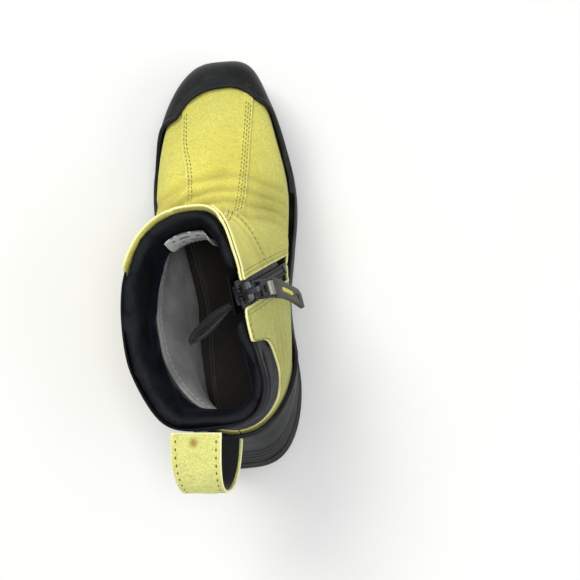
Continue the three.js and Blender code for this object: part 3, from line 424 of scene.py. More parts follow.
class Panel:
    """A sheet that follows the skin, with its grid kept so that rows of stitches can be laid on it."""

    def __init__(
        self, name, start, end, bottom, top, outer, thickness, columns, rows, shape=None, ring=False
    ):
        start, end, bottom, top = map(as_function, (start, end, bottom, top))
        middle = float(mix(bottom(0.5), top(0.5), 0.5))
        wide = abs(float(np.ravel(end(middle) - start(middle))[0])) * 2 * skin.half_length(1, middle)
        tall = abs(float(np.ravel(top(0.5) - bottom(0.5))[0])) * 165
        share = np.linspace(0, 1, columns + 1)[:-1] if ring else shares(columns, wide)
        s, t = np.meshgrid(share, shares(rows, tall))
        self.level = mix(bottom(s), top(s), t)
        self.turn = mix(start(self.level), end(self.level), s)
        self.base = skin.at(self.turn, self.level)
        self.left, self.under = running(self.base, 1), running(self.base, 0)
        across, along = self.left, self.under
        self.right, self.over = across[:, -1:] - across, along[-1:] - along
        self.edge = np.minimum(self.under, self.over)
        if not ring:
            self.edge = np.minimum(self.edge, np.minimum(self.left, self.right))
        self.fold = np.zeros(self.level.shape)
        lift = shape(self) if shape else 0
        radius = thickness * 0.5
        dip = 0.9 * radius * (1 - np.sqrt(1 - (1 - np.clip(self.edge / radius, 0, 1)) ** 2))
        self.outside = skin.at(self.turn, self.level, outer + lift - dip)
        self.inside = skin.at(self.turn, self.level, outer + lift - thickness + dip)
        self.normal = skin.read(skin.normal, self.turn, self.level)
        self.piece = slab_piece(name, self.outside, self.inside, self.edge, across, along, ring)
        # 'fold' holds the crease depth that the suede's colour uses to paint shade into the creases.
        folds = self.piece.data.attributes.new("fold", "FLOAT", "POINT")
        folds.data.foreach_set("value", np.tile(self.fold.ravel(), 2).astype(np.float32))

    def beside(self, side, distance, face="outside"):
        """The line on the face a distance in mm from one edge: its points, normals, turns and levels."""
        run = getattr(self, side)
        grids = [getattr(self, face), self.normal, self.turn[..., None], self.level[..., None]]
        if side in ("under", "over"):
            run = run.T
            grids = [grid.transpose(1, 0, 2) for grid in grids]
        sign = 1 if side in ("left", "under") else -1
        line = []
        for r, row in enumerate(run):
            if row.max() < distance + 0.5:
                continue
            column = np.interp(sign * distance, sign * row, np.arange(len(row)))
            c = min(int(column), len(row) - 2)
            line.append([mix(grid[r, c], grid[r, c + 1], column - c) for grid in grids])
        points, normals, turns, levels = (np.array([entry[k] for entry in line]) for k in range(4))
        return points, normals, turns[:, 0], levels[:, 0]


def finish_piece(piece, material, body, record_slot, *nodes):
    """Gives a piece its material and its body, and hides the CAD nodes it stands for."""
    piece.data.materials.clear()
    piece.data.materials.append(material)
    if body:
        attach(piece, body)
    if nodes:
        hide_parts(*nodes)
    return piece

# ---- Node tools ----


def tint(red, green, blue, alpha=1.0):
    """A colour given from 0 to 255, as the shader's linear values."""
    linear = [
        (c / 255 / 12.92) if c <= 10 else ((c / 255 + 0.055) / 1.055) ** 2.4 for c in (red, green, blue)
    ]
    return (*linear, alpha)


class Nodes:
    """Places and joins the nodes of one tree."""

    def __init__(self, tree):
        self.tree = tree

    def add(self, kind, inputs=(), **settings):
        node = self.tree.nodes.new(kind)
        for key, value in settings.items():
            setattr(node, key, value)
        for key, value in dict(inputs).items():
            if isinstance(value, bpy.types.NodeSocket):
                self.tree.links.new(value, node.inputs[key])
            else:
                node.inputs[key].default_value = value
        return node

    def noise(self, vector, scale, detail=3.0, roughness=0.55, distortion=0.0):
        inputs = {"Vector": vector, "Scale": scale, "Detail": detail}
        inputs |= {"Roughness": roughness, "Distortion": distortion}
        return self.add("ShaderNodeTexNoise", inputs).outputs["Fac"]

    def stretch(self, vector, scale, rotation=(0, 0, 0)):
        inputs = {"Vector": vector, "Scale": scale, "Rotation": rotation}
        return self.add("ShaderNodeMapping", inputs).outputs[0]

    def math(self, operation, first, second=0.0, clamp=False):
        node = self.add("ShaderNodeMath", {0: first, 1: second}, operation=operation, use_clamp=clamp)
        return node.outputs[0]

    def ramp(self, value, low, high, at_low=0.0, at_high=1.0):
        inputs = {"Value": value, "From Min": low, "From Max": high, "To Min": at_low, "To Max": at_high}
        return self.add("ShaderNodeMapRange", inputs, interpolation_type="SMOOTHSTEP").outputs[0]

    def blend(self, share, first, second):
        node = self.add("ShaderNodeMix", data_type="RGBA")
        for socket, value in zip((node.inputs[0], node.inputs[6], node.inputs[7]), (share, first, second)):
            if isinstance(value, bpy.types.NodeSocket):
                self.tree.links.new(value, socket)
            else:
                socket.default_value = value
        return node.outputs[2]

    def bump(self, height, strength, distance, normal=None):
        inputs = {"Height": height, "Strength": strength, "Distance": distance}
        if normal is not None:
            inputs["Normal"] = normal
        return self.add("ShaderNodeBump", inputs).outputs["Normal"]

    def attribute(self, name):
        return self.add("ShaderNodeAttribute", attribute_name=name).outputs["Fac"]

    def place(self):
        return self.add("ShaderNodeTexCoord").outputs["Object"]

    def uv(self):
        return self.add("ShaderNodeTexCoord").outputs["UV"]


def group(name, takes, gives):
    """A new shader group with its sockets, and its Nodes, its input sockets by name and its output node."""
    tree = bpy.data.node_groups.new(name, "ShaderNodeTree")
    for label, kind in takes:
        tree.interface.new_socket(label, in_out="INPUT", socket_type=kind)
    for label, kind in gives:
        tree.interface.new_socket(label, in_out="OUTPUT", socket_type=kind)
    nodes = Nodes(tree)
    entry = nodes.add("NodeGroupInput").outputs
    return tree, nodes, entry, nodes.add("NodeGroupOutput")


FLOAT, VECTOR = "NodeSocketFloat", "NodeSocketVector"


def make_grain_group():
    """Fine surface grain: a height from two sizes of noise, and a slow mottle."""
    tree, nodes, entry, out = group(
        "fine_grain", [("Place", VECTOR), ("Fineness", FLOAT)], [("Height", FLOAT), ("Mottle", FLOAT)]
    )
    fine = nodes.noise(entry["Place"], entry["Fineness"], 4.0, 0.7)
    coarse = nodes.noise(entry["Place"], nodes.math("MULTIPLY", entry["Fineness"], 0.22), 2.0)
    height = nodes.math("ADD", nodes.math("MULTIPLY", fine, 0.6), nodes.math("MULTIPLY", coarse, 0.4))
    mottle = nodes.noise(entry["Place"], nodes.math("MULTIPLY", entry["Fineness"], 0.035), 4.0, 0.6)
    tree.links.new(height, out.inputs["Height"])
    tree.links.new(mottle, out.inputs["Mottle"])
    return tree


def make_wear_group():
    """Scuffs: thin broken scratches and rubbed patches."""
    tree, nodes, entry, out = group("rubbed_wear", [("Place", VECTOR), ("Amount", FLOAT)], [("Mask", FLOAT)])
    streaks = nodes.noise(nodes.stretch(entry["Place"], (40, 340, 900), (0.5, 0.3, 0.8)), 1.0, 3.0, 0.6)
    crossed = nodes.noise(nodes.stretch(entry["Place"], (420, 60, 700), (0.9, 0.7, 0.2)), 1.0, 3.0, 0.6)
    patches = nodes.ramp(nodes.noise(entry["Place"], 46.0, 4.0, 0.65), 0.5, 0.68)
    lines = nodes.ramp(nodes.math("MAXIMUM", streaks, crossed), 0.6, 0.7)
    found = nodes.math("ADD", nodes.math("MULTIPLY", lines, 0.7), nodes.math("MULTIPLY", patches, 0.5))
    tree.links.new(nodes.math("MULTIPLY", found, entry["Amount"], True), out.inputs["Mask"])
    return tree


def make_dust_group():
    """Pale dust, more of it near the ground."""
    tree, nodes, entry, out = group(
        "settled_dust", [("Place", VECTOR), ("Amount", FLOAT)], [("Mask", FLOAT)]
    )
    height = nodes.add("ShaderNodeSeparateXYZ", {0: entry["Place"]}).outputs[2]
    low = nodes.ramp(height, 0.0, 0.075, 1.0, 0.25)
    specks = nodes.ramp(nodes.noise(entry["Place"], 900.0, 2.0), 0.5, 0.75)
    cloud = nodes.ramp(nodes.noise(entry["Place"], 60.0, 4.0, 0.6), 0.42, 0.7)
    found = nodes.math("MULTIPLY", nodes.math("ADD", nodes.math("MULTIPLY", specks, 0.5), cloud), low)
    tree.links.new(nodes.math("MULTIPLY", found, entry["Amount"], True), out.inputs["Mask"])
    return tree


def make_weave_group():
    """A plain weave: warp and weft ribs with a height and a mask of the gaps. Pitch is threads per metre."""
    tree, nodes, entry, out = group(
        "plain_weave", [("Place", VECTOR), ("Pitch", FLOAT)], [("Height", FLOAT), ("Gaps", FLOAT)]
    )
    parts = nodes.add("ShaderNodeSeparateXYZ", {0: entry["Place"]}).outputs
    turn = nodes.math("MULTIPLY", entry["Pitch"], math.pi)
    warp = nodes.math("SINE", nodes.math("MULTIPLY", parts[0], turn))
    weft = nodes.math("SINE", nodes.math("MULTIPLY", parts[1], turn))
    over = nodes.math("MULTIPLY", warp, weft)
    rib = nodes.math("ADD", nodes.math("MULTIPLY", over, 0.5), 0.5)
    fibre = nodes.noise(entry["Place"], nodes.math("MULTIPLY", entry["Pitch"], 2.6), 2.0)
    height = nodes.math("ADD", nodes.math("MULTIPLY", rib, 0.75), nodes.math("MULTIPLY", fibre, 0.25))
    edges = nodes.math("MULTIPLY", nodes.math("ABSOLUTE", warp), nodes.math("ABSOLUTE", weft))
    tree.links.new(height, out.inputs["Height"])
    tree.links.new(nodes.ramp(edges, 0.05, 0.35, 1.0, 0.0), out.inputs["Gaps"])
    return tree


GRAIN, WEAR = make_grain_group(), make_wear_group()
DUST, WEAVE = make_dust_group(), make_weave_group()


class Finish(Nodes):
    """A material's tree with its Principled shader, built up step by step."""

    def __init__(self, name, **constants):
        self.material = bpy.data.materials.new(name)
        self.material.use_nodes = True
        super().__init__(self.material.node_tree)
        self.shader = self.tree.nodes["Principled BSDF"]
        for key, value in constants.items():
            self.shader.inputs[key.replace("_", " ")].default_value = value

    def use(self, shared, **inputs):
        node = self.add("ShaderNodeGroup", node_tree=shared)
        for key, value in inputs.items():
            if isinstance(value, bpy.types.NodeSocket):
                self.tree.links.new(value, node.inputs[key])
            else:
                node.inputs[key].default_value = value
        return node.outputs

    def give(self, colour, roughness, normal):
        self.tree.links.new(colour, self.shader.inputs["Base Color"])
        self.tree.links.new(roughness, self.shader.inputs["Roughness"])
        self.tree.links.new(normal, self.shader.inputs["Normal"])
        return self.material


def suede_finish(name, bright, deep, greenish, edge_colour, lower_green, oil_spot=None):
    """Rough suede: mottled nap, brushed streaks, greener and darker low down, pale fuzzy cut edges, and
    painted shade in the creases and on the medial (zip) side.
    """
    pale = tint(236, 232, 170)
    f = Finish(name, Sheen_Weight=0.35, Sheen_Roughness=0.55, Sheen_Tint=pale, Specular_IOR_Level=0.18)
    place = f.place()
    grain = f.use(GRAIN, Place=place, Fineness=1500.0)
    brushed = f.noise(f.stretch(place, (120, 300, 90), (0.3, 0.5, 0.4)), 1.0, 4.0, 0.65)
    clouds = f.noise(place, 26.0, 4.0, 0.6)
    colour = f.blend(f.ramp(clouds, 0.35, 0.66), bright, deep)
    colour = f.blend(f.ramp(brushed, 0.48, 0.74, 0.0, 0.55), colour, greenish)
    across, forward, height = f.add("ShaderNodeSeparateXYZ", {0: place}).outputs
    # Painted shade: the medial (zip) side is made darker and greener, towards the back of the boot.
    wavy = f.math("ADD", across, f.math("MULTIPLY", f.math("SUBTRACT", clouds, 0.5), 0.04))
    zip_side_shade = f.math("MULTIPLY", f.ramp(wavy, -0.004, 0.032), f.ramp(forward, 0.12, 0.185, 1.0, 0.0))
    colour = f.blend(f.math("MULTIPLY", zip_side_shade, 0.75), colour, tint(166, 168, 92))
    # Greener and darker towards the bottom of the upper.
    wavy_height = f.math("ADD", height, f.math("MULTIPLY", f.math("SUBTRACT", clouds, 0.5), 0.05))
    colour = f.blend(f.ramp(wavy_height, *lower_green), colour, greenish)
    nap = f.noise(place, 1100.0, 3.0, 0.7)
    colour = f.blend(f.ramp(nap, 0.42, 0.68, 0.0, 0.5), colour, tint(140, 134, 62))
    tufts = f.noise(place, 420.0, 4.0, 0.75)
    colour = f.blend(f.ramp(tufts, 0.5, 0.7, 0.0, 0.3), colour, tint(236, 230, 150))
    edge = f.attribute("edge")
    fibres = f.math("MULTIPLY", f.noise(place, 800.0, 3.0, 0.7), 1.4)
    frayed = f.math("ADD", fibres, f.math("MULTIPLY", edge, -1.0))
    fray = f.ramp(frayed, -0.45, 0.35, 0.0, 0.85)
    colour = f.blend(fray, colour, edge_colour)
    stain = f.ramp(f.noise(place, 13.0, 5.0, 0.7), 0.6, 0.78, 0.0, 0.35)
    colour = f.blend(stain, colour, tint(150, 142, 74))
    # Painted shade: the suede is darkened along its creases.
    colour = f.blend(f.math("MULTIPLY", f.attribute("fold"), 0.8), colour, tint(146, 130, 46))
    if oil_spot:
        away = f.add("ShaderNodeVectorMath", {0: place, 1: oil_spot}, operation="DISTANCE").outputs["Value"]
        ragged = f.math("ADD", away, f.math("MULTIPLY", f.math("SUBTRACT", nap, 0.5), 0.004))
        colour = f.blend(f.ramp(ragged, 0.0028, 0.0052, 0.85, 0.0), colour, tint(140, 92, 40))
    rough = f.ramp(clouds, 0.3, 0.7, 0.88, 0.98)
    lumps = f.bump(f.noise(place, 240.0, 3.0, 0.6), 0.35, 0.0009)
    fuzz = f.bump(f.math("ADD", grain["Height"], f.math("MULTIPLY", fray, 0.6)), 0.75, 0.0006, lumps)
    return f.give(colour, rough, fuzz)


def softshell_finish(name, base, sheen, fine_rib):
    """Tight synthetic cloth with a slightly blue sheen."""
    f = Finish(name, Sheen_Weight=0.06, Sheen_Roughness=0.3, Sheen_Tint=sheen, Specular_IOR_Level=0.16)
    place = f.place()
    grain = f.use(GRAIN, Place=place, Fineness=1300.0)
    ribs = f.noise(f.stretch(place, (fine_rib, fine_rib * 0.7, fine_rib * 1.6)), 1.0, 2.0)
    worn = f.use(WEAR, Place=place, Amount=0.3)
    colour = f.blend(f.ramp(grain["Mottle"], 0.35, 0.7), base, tint(10, 12, 17))
    colour = f.blend(f.math("MULTIPLY", worn["Mask"], 0.5), colour, tint(50, 52, 60))
    rough = f.ramp(grain["Mottle"], 0.3, 0.7, 0.5, 0.66)
    return f.give(colour, rough, f.bump(ribs, 0.5, 0.0004, f.bump(grain["Height"], 0.35, 0.0005)))


def rubber_finish(name, base, bloom, dusty, roughness):
    """Moulded rubber with bloom, scuffs and dust."""
    f = Finish(name, Specular_IOR_Level=0.22)
    place = f.place()
    grain = f.use(GRAIN, Place=place, Fineness=1100.0)
    worn = f.use(WEAR, Place=place, Amount=0.45)
    dust = f.use(DUST, Place=place, Amount=dusty)
    colour = f.blend(f.ramp(grain["Mottle"], 0.35, 0.68), base, bloom)
    colour = f.blend(f.math("MULTIPLY", worn["Mask"], 0.4), colour, tint(84, 88, 86))
    colour = f.blend(f.math("MULTIPLY", dust["Mask"], 0.45), colour, tint(120, 115, 100))
    marked = f.math("MAXIMUM", worn["Mask"], dust["Mask"])
    mottled = f.ramp(grain["Mottle"], 0.3, 0.7, roughness, roughness + 0.12)
    rough = f.math("ADD", f.math("MULTIPLY", marked, 0.25), mottled)
    normal = f.bump(worn["Mask"], 0.25, 0.0004, f.bump(grain["Height"], 0.4, 0.0005))
    return f.give(colour, rough, normal)


def felt_finish(name, light, dark, fibre_colour):
    """Needled felt: tangled fibres in two greys."""
    f = Finish(name, Sheen_Weight=0.3, Sheen_Roughness=0.6, Specular_IOR_Level=0.12)
    place = f.place()
    grain = f.use(GRAIN, Place=place, Fineness=1200.0)
    fibres = f.noise(f.stretch(place, (500, 1600, 700), (0.4, 0.2, 0.9)), 1.0, 4.0, 0.75, 1.5)
    tangled = f.noise(f.stretch(place, (1500, 450, 900), (0.9, 0.6, 0.1)), 1.0, 4.0, 0.75, 1.5)
    both = f.math("MAXIMUM", fibres, tangled)
    colour = f.blend(f.ramp(grain["Mottle"], 0.3, 0.7), dark, light)
    colour = f.blend(f.ramp(both, 0.55, 0.72, 0.0, 0.6), colour, fibre_colour)
    rough = f.ramp(both, 0.3, 0.7, 0.9, 1.0)
    return f.give(colour, rough, f.bump(f.math("ADD", both, grain["Height"]), 0.8, 0.0007))


def webbing_finish(name, thread, shade, pitch):
    """Woven tape that follows its own UV map."""
    f = Finish(name, Sheen_Weight=0.2, Sheen_Roughness=0.4, Specular_IOR_Level=0.3)
    uv = f.uv()
    weave = f.use(WEAVE, Place=uv, Pitch=pitch)
    grain = f.use(GRAIN, Place=f.place(), Fineness=900.0)
    colour = f.blend(weave["Gaps"], thread, shade)
    colour = f.blend(f.ramp(grain["Mottle"], 0.4, 0.7, 0.0, 0.5), colour, shade)
    rough = f.ramp(weave["Height"], 0.2, 0.9, 0.85, 0.6)
    return f.give(colour, rough, f.bump(weave["Height"], 0.8, 0.0005))


def plastic_finish(name, base, worn_colour, roughness, metallic=0.0, wear=0.6):
    """Moulded plastic or plated metal, with rubbed patches and scratches."""
    f = Finish(name, Specular_IOR_Level=0.5, Metallic=metallic)
    place = f.place()
    grain = f.use(GRAIN, Place=place, Fineness=2200.0)
    worn = f.use(WEAR, Place=f.stretch(place, (2, 2, 2)), Amount=wear)
    colour = f.blend(f.ramp(grain["Mottle"], 0.35, 0.7, 0.0, 0.5), base, worn_colour)
    colour = f.blend(f.math("MULTIPLY", worn["Mask"], 0.6), colour, worn_colour)
    mottled = f.ramp(grain["Mottle"], 0.3, 0.7, roughness, roughness + 0.1)
    rough = f.math("ADD", f.math("MULTIPLY", worn["Mask"], 0.2), mottled)
    return f.give(colour, rough, f.bump(grain["Height"], 0.3, 0.0002, f.bump(worn["Mask"], 0.2, 0.0001)))


def board_finish(name, base, fleck):
    """Pressed fibre board."""
    f = Finish(name, Specular_IOR_Level=0.15)
    place = f.place()
    grain = f.use(GRAIN, Place=place, Fineness=1000.0)
    flecks = f.ramp(f.noise(f.stretch(place, (300, 900, 500)), 1.0, 3.0), 0.55, 0.7)
    return f.give(
        f.blend(flecks, f.blend(grain["Mottle"], base, fleck), fleck),
        f.ramp(flecks, 0.0, 1.0, 0.85, 0.95),
        f.bump(grain["Height"], 0.5, 0.0004),
    )


def thread_finish(name, base, light):
    """Twisted sewing thread."""
    f = Finish(name, Sheen_Weight=0.2, Specular_IOR_Level=0.35)
    place = f.place()
    ply = f.noise(f.stretch(place, (3000, 1500, 2200), (0.6, 0.6, 0.6)), 1.0, 2.0)
    colour = f.blend(f.ramp(ply, 0.35, 0.7), base, light)
    return f.give(colour, f.ramp(ply, 0.3, 0.7, 0.6, 0.85), f.bump(ply, 0.6, 0.0003))


def label_finish(name):
    """A silvery woven label with plain bars and a brown lower edge, laid out on its UV map."""
    f = Finish(name, Sheen_Weight=0.25, Specular_IOR_Level=0.4)
    uv = f.uv()
    weave = f.use(WEAVE, Place=uv, Pitch=1500.0)
    parts = f.add("ShaderNodeSeparateXYZ", {0: uv}).outputs
    across, up = parts[0], parts[1]
    rows = f.math("SINE", f.math("MULTIPLY", up, 2 * math.pi / 0.0062))
    words = f.noise(f.stretch(uv, (210, 160, 1)), 1.0, 0.0)
    inside = f.math("MULTIPLY", f.ramp(across, 0.006, 0.0075), f.ramp(across, 0.052, 0.0535, 1.0, 0.0))
    printed = f.math("MULTIPLY", f.ramp(rows, 0.1, 0.5), f.ramp(words, 0.42, 0.47))
    printed = f.math("MULTIPLY", f.math("MULTIPLY", printed, inside), f.ramp(up, 0.0062, 0.0068))
    colour = f.blend(weave["Gaps"], tint(204, 206, 204), tint(150, 150, 146))
    colour = f.blend(f.math("MULTIPLY", printed, 0.85), colour, tint(40, 40, 44))
    colour = f.blend(f.ramp(up, 0.0045, 0.0052, 1.0, 0.0), colour, tint(96, 78, 58))
    return f.give(colour, f.ramp(weave["Height"], 0.2, 0.9, 0.7, 0.5), f.bump(weave["Height"], 0.5, 0.0003))


EDGE_PALE = tint(236, 232, 170)
YELLOW_SUEDE = suede_finish(
    "yellow_suede",
    tint(232, 224, 104),
    tint(212, 202, 88),
    tint(184, 182, 96),
    EDGE_PALE,
    (0.052, 0.088, 0.7, 0.0),
)
# Painted shade: the medial quarter gets a duller, greener copy of the yellow suede.
SHADED_SIDE_SUEDE = suede_finish(
    "yellow_suede_painted_shade",
    tint(196, 194, 108),
    tint(176, 176, 96),
    tint(146, 152, 86),
    EDGE_PALE,
    (0.06, 0.13, 0.95, 0.1),
)
LOOP_SUEDE_FINISH = suede_finish(
    "pale_suede",
    tint(222, 222, 138),
    tint(206, 206, 120),
    tint(184, 186, 108),
    tint(240, 238, 190),
    (0.0, 0.01, 0.1, 0.0),
    (-0.029, -0.032, 0.15),
)
SOFTSHELL = softshell_finish("black_softshell", tint(4, 5, 8), tint(110, 126, 180), 900.0)
SHAFT_RUBBER = rubber_finish("rand_rubber", tint(9, 10, 11), tint(18, 22, 24), 0.16, 0.42)
SOLE_RUBBER = rubber_finish("sole_rubber", tint(9, 10, 11), tint(18, 22, 24), 0.28, 0.46)
GREY_FELT = felt_finish("grey_felt", tint(164, 164, 162), tint(124, 124, 124), tint(206, 206, 204))
DARK_FOAM = felt_finish("dark_foam", tint(66, 66, 68), tint(48, 48, 50), tint(90, 90, 92))
FOOTBED_CLOTH = felt_finish("footbed_cloth", tint(44, 41, 37), tint(30, 28, 26), tint(86, 80, 72))
FIBRE_BOARD = board_finish("fibre_board", tint(40, 37, 34), tint(58, 53, 48))
SHANK_STEEL = plastic_finish("shank_steel", tint(138, 140, 144), tint(170, 170, 172), 0.35, 0.95, 0.5)
BLACK_WEBBING = webbing_finish("black_webbing", tint(26, 27, 30), tint(8, 8, 10), 1100.0)
ZIP_TAPE = webbing_finish("zip_tape", tint(20, 21, 24), tint(6, 6, 8), 1500.0)
ZIP_PLASTIC = plastic_finish("zip_plastic", tint(16, 17, 19), tint(44, 46, 50), 0.3)
ZIP_METAL = plastic_finish("zip_metal", tint(16, 17, 19), tint(84, 86, 92), 0.22, 0.5, 0.35)
BARREL_METAL = plastic_finish("barrel_metal", tint(128, 126, 118), tint(176, 172, 160), 0.42, 0.5, 0.9)
GRIP_PLASTIC = plastic_finish("grip_plastic", tint(50, 50, 46), tint(96, 96, 86), 0.32)
GRIP_INSERT = plastic_finish("grip_insert", tint(208, 200, 92), tint(168, 162, 84), 0.55)
DARK_THREAD = thread_finish("dark_thread", tint(66, 62, 26), tint(112, 106, 48))
OLIVE_THREAD = thread_finish("olive_thread", tint(104, 100, 42), tint(146, 140, 62))
PALE_THREAD = thread_finish("pale_thread", tint(170, 170, 160), tint(214, 212, 200))
LABEL_CLOTH = label_finish("label_cloth")

# ---- The panels of the upper, as in the CAD model ----

PANEL_BOTTOM = 0.012
SEAM_OVERLAP = 4
VAMP_LIFT = 1.5


VAMP_EDGE = [(0, 28), (0.4, 27), (0.52, 18.5), (0.65, 14), (1, 12)]


def vamp_lateral(level):
    return skin.turn_at(-through(VAMP_EDGE, level), level)


def vamp_medial(level):
    return skin.turn_at(mix(25, 20, level), level)


def zip_gap(level):
    return mix(0.4, ZIP_OPENING, smooth(zip_bottom_level - 0.09, zip_bottom_level - 0.03, level))


SUEDE_TOP = [
    (-0.5, 0.49),
    (-0.43, 0.53),
    (-0.37, 0.6),
    (-0.275, 0.72),
    (-0.205, 0.79),
    (-0.175, 0.85),
    (-0.16, 0.99),
    (-0.152, 1),
    (0.2625, 1),
    (0.2716, 0.99),
    (0.281, 0.86),
    (0.295, 0.8),
    (0.335, 0.73),
    (0.39, 0.63),
    (0.43, 0.55),
    (0.5, 0.49),
]
RAND_TOP = [
    (-0.215, 0.03),
    (-0.175, 0.06),
    (-0.14, 0.15),
    (-0.12, 0.21),
    (-0.07, 0.315),
    (-0.042, 0.315),
    (0, 0.31),
    (0.045, 0.3),
    (0.073, 0.26),
    (0.105, 0.17),
    (0.14, 0.07),
    (0.18, 0.03),
]
HEEL_CUP_TOP = [(0, 0.49), (0.05, 0.48), (0.08, 0.42), (0.11, 0.3), (0.14, 0.14), (0.165, 0.03)]
HEEL_CUP_SPAN = 0.165
EDGE_LEVEL = 0.8


def suede_top_between(start, end):
    return lambda share: through(SUEDE_TOP, mix(start(EDGE_LEVEL), end(EDGE_LEVEL), share))


def covered(turn):
    """The level up to which rubber covers the suede at a turn."""
    from_back = np.minimum(0.5 - np.abs(turn), 0.2)
    heel = np.where(from_back < HEEL_CUP_SPAN, through(HEEL_CUP_TOP, from_back), 0)
    toe = np.where((turn > -0.215) & (turn < 0.18), through(RAND_TOP, turn), 0)
    return np.maximum(heel, toe)


CREASES = ((120, 1.4, 5), (131, 2.4, 6), (143, 2.0, 6), (156, 1.2, 6))
ANKLE_FOLDS = ((80, 0.9, 5), (91, 1.3, 6), (103, 1.1, 6))


def hide(place):
    """The unevenness of a suede hide, with flex creases across the instep and round the ankle."""
    x, y, z = (place.base[..., k] for k in range(3))
    lift = 0.5 * unevenness(place.base, 30, 1) + 0.18 * unevenness(place.base, 9, 2)
    arc = y + 0.006 * (x - 6) ** 2 + 7 * unevenness(place.base, 38, 5)
    instep = smooth(46, 60, z) * smooth(116, 98, z) * (0.7 + 0.5 * unevenness(place.base, 22, 6))
    fold = sum(depth * instep * bump(arc, at, wide) for at, depth, wide in CREASES)
    slope = z - 0.16 * y + 6 * unevenness(place.base, 40, 7)
    ankle = smooth(74, 90, z) * smooth(142, 118, z) * (0.7 + 0.5 * unevenness(place.base, 26, 8))
    fold = fold + sum(depth * ankle * bump(slope, at, wide) for at, depth, wide in ANKLE_FOLDS)
    # The crease depth is kept as 'fold' for painted shade: the suede's colour is darkened along the creases.
    place.fold = np.clip(fold / 2, 0, 1)
    return lift - fold


def sewn(distance, *rows):
    """Grooves where rows of stitches pull a panel down."""
    return -sum(0.32 * bump(distance, row, 1.5) for row in rows)


def tucked(distance):
    """An edge that goes under its neighbour sits a little lower."""
    return -0.45 * (1 - smooth(0, 7, distance))


def raised(distance, width=4.2, lift=VAMP_LIFT):
    """An edge that lies on its neighbour sits higher, then comes back down."""
    return lift * (1 - smooth(width, width + 7, distance))


def rim_flare(place, amount=0.5):
    rim = 1 - smooth(0, 8, place.over)
    return (amount + 0.4 * unevenness(place.base, 14, 4)) * rim


ROWS = (2.4, 4.8)

vamp = Panel(
    "vamp",
    lambda level: vamp_lateral(level) - skin.turn_at(SEAM_OVERLAP, level),
    lambda level: vamp_medial(level) + skin.turn_at(SEAM_OVERLAP, level),
    PANEL_BOTTOM,
    1,
    0.2,
    SUEDE,
    30,
    80,
    lambda p: hide(p)
    + raised(np.minimum(p.left, p.right)) * (1 - smooth(0.6, 0.7, p.level))
    + sewn(np.minimum(p.left, p.right), *ROWS)
    + rim_flare(p),
)
forepart = Panel(
    "medial_forepart_suede",
    vamp_medial,
    lambda level: skin.zip_turn(level, -zip_gap(level)),
    PANEL_BOTTOM,
    1,
    0,
    SUEDE,
    50,
    70,
    lambda p: hide(p) * smooth(0, 8, p.left) + tucked(p.left) + sewn(p.right, *ROWS) + rim_flare(p, 0.4),
)


def medial_front(level):
    return skin.zip_turn(level, zip_gap(level))


def medial_back(level):
    return 0.5 - skin.turn_at(0.4, level)


def lateral_front(level):
    return vamp_lateral(level)


def lateral_back(level):
    return -0.5 + skin.turn_at(0.4, level)


medial = Panel(
    "medial_quarter_suede",
    medial_front,
    medial_back,
    PANEL_BOTTOM,
    suede_top_between(medial_front, medial_back),
    0.3,
    SUEDE,
    70,
    36,
    lambda p: hide(p) + sewn(p.left, *ROWS) + sewn(p.over, *ROWS) + 0.5 * (1 - smooth(0, 5, p.over)),
)
lateral = Panel(
    "lateral_quarter_suede",
    lateral_front,
    lateral_back,
    PANEL_BOTTOM,
    suede_top_between(lateral_front, lateral_back),
    0,
    SUEDE,
    100,
    40,
    lambda p: hide(p) * smooth(0, 8, p.left)
    + tucked(p.left)
    + sewn(p.over, *ROWS)
    + 0.6 * (1 - smooth(0, 5, p.over)),
)
patch = Panel(
    "zip_top_patch_suede",
    lambda level: skin.turn_at(12, level),
    lambda level: skin.zip_turn(level, -ZIP_OPENING),
    0.7,
    1,
    1.75,
    SUEDE * 0.75,
    16,
    22,
    lambda p: hide(p) + sewn(p.left, *ROWS) + sewn(p.under, *ROWS) + sewn(p.right, *ROWS) + rim_flare(p),
)
finish_piece(vamp.piece, YELLOW_SUEDE, "boot", "suede", "vamp_panel")
finish_piece(forepart.piece, YELLOW_SUEDE, "boot", "suede", "medial_forepart")
finish_piece(medial.piece, SHADED_SIDE_SUEDE, "boot", "suede", "medial_quarter")
finish_piece(lateral.piece, YELLOW_SUEDE, "boot", "suede", "lateral_quarter")
finish_piece(patch.piece, YELLOW_SUEDE, "boot", "suede", "zip_top_patch")

# ---- Rubber rand and heel cup ----


def lip(place):
    """A raised bead along the top edge of the moulded rubber."""
    return 0.7 * bump(place.over, 1.8, 2.2) - 0.35 * bump(place.over, 4.6, 1.2)


def rand_relief(place):
    sides = smooth(0.05, 0.09, np.abs(place.turn))
    grooves = sum(0.5 * bump(place.under, at, 1.6) for at in (5, 9.5)) * sides
    return lip(place) - grooves + 0.12 * unevenness(place.base, 16, 11)


def heel_relief(place):
    ribs = sum(0.75 * bump(place.under, at, 2.6) for at in (4, 10, 16, 22))
    fade = smooth(0.36, 0.4, np.abs(place.turn - np.round(place.turn)))
    return lip(place) + ribs * fade + 0.12 * unevenness(place.base, 16, 12)


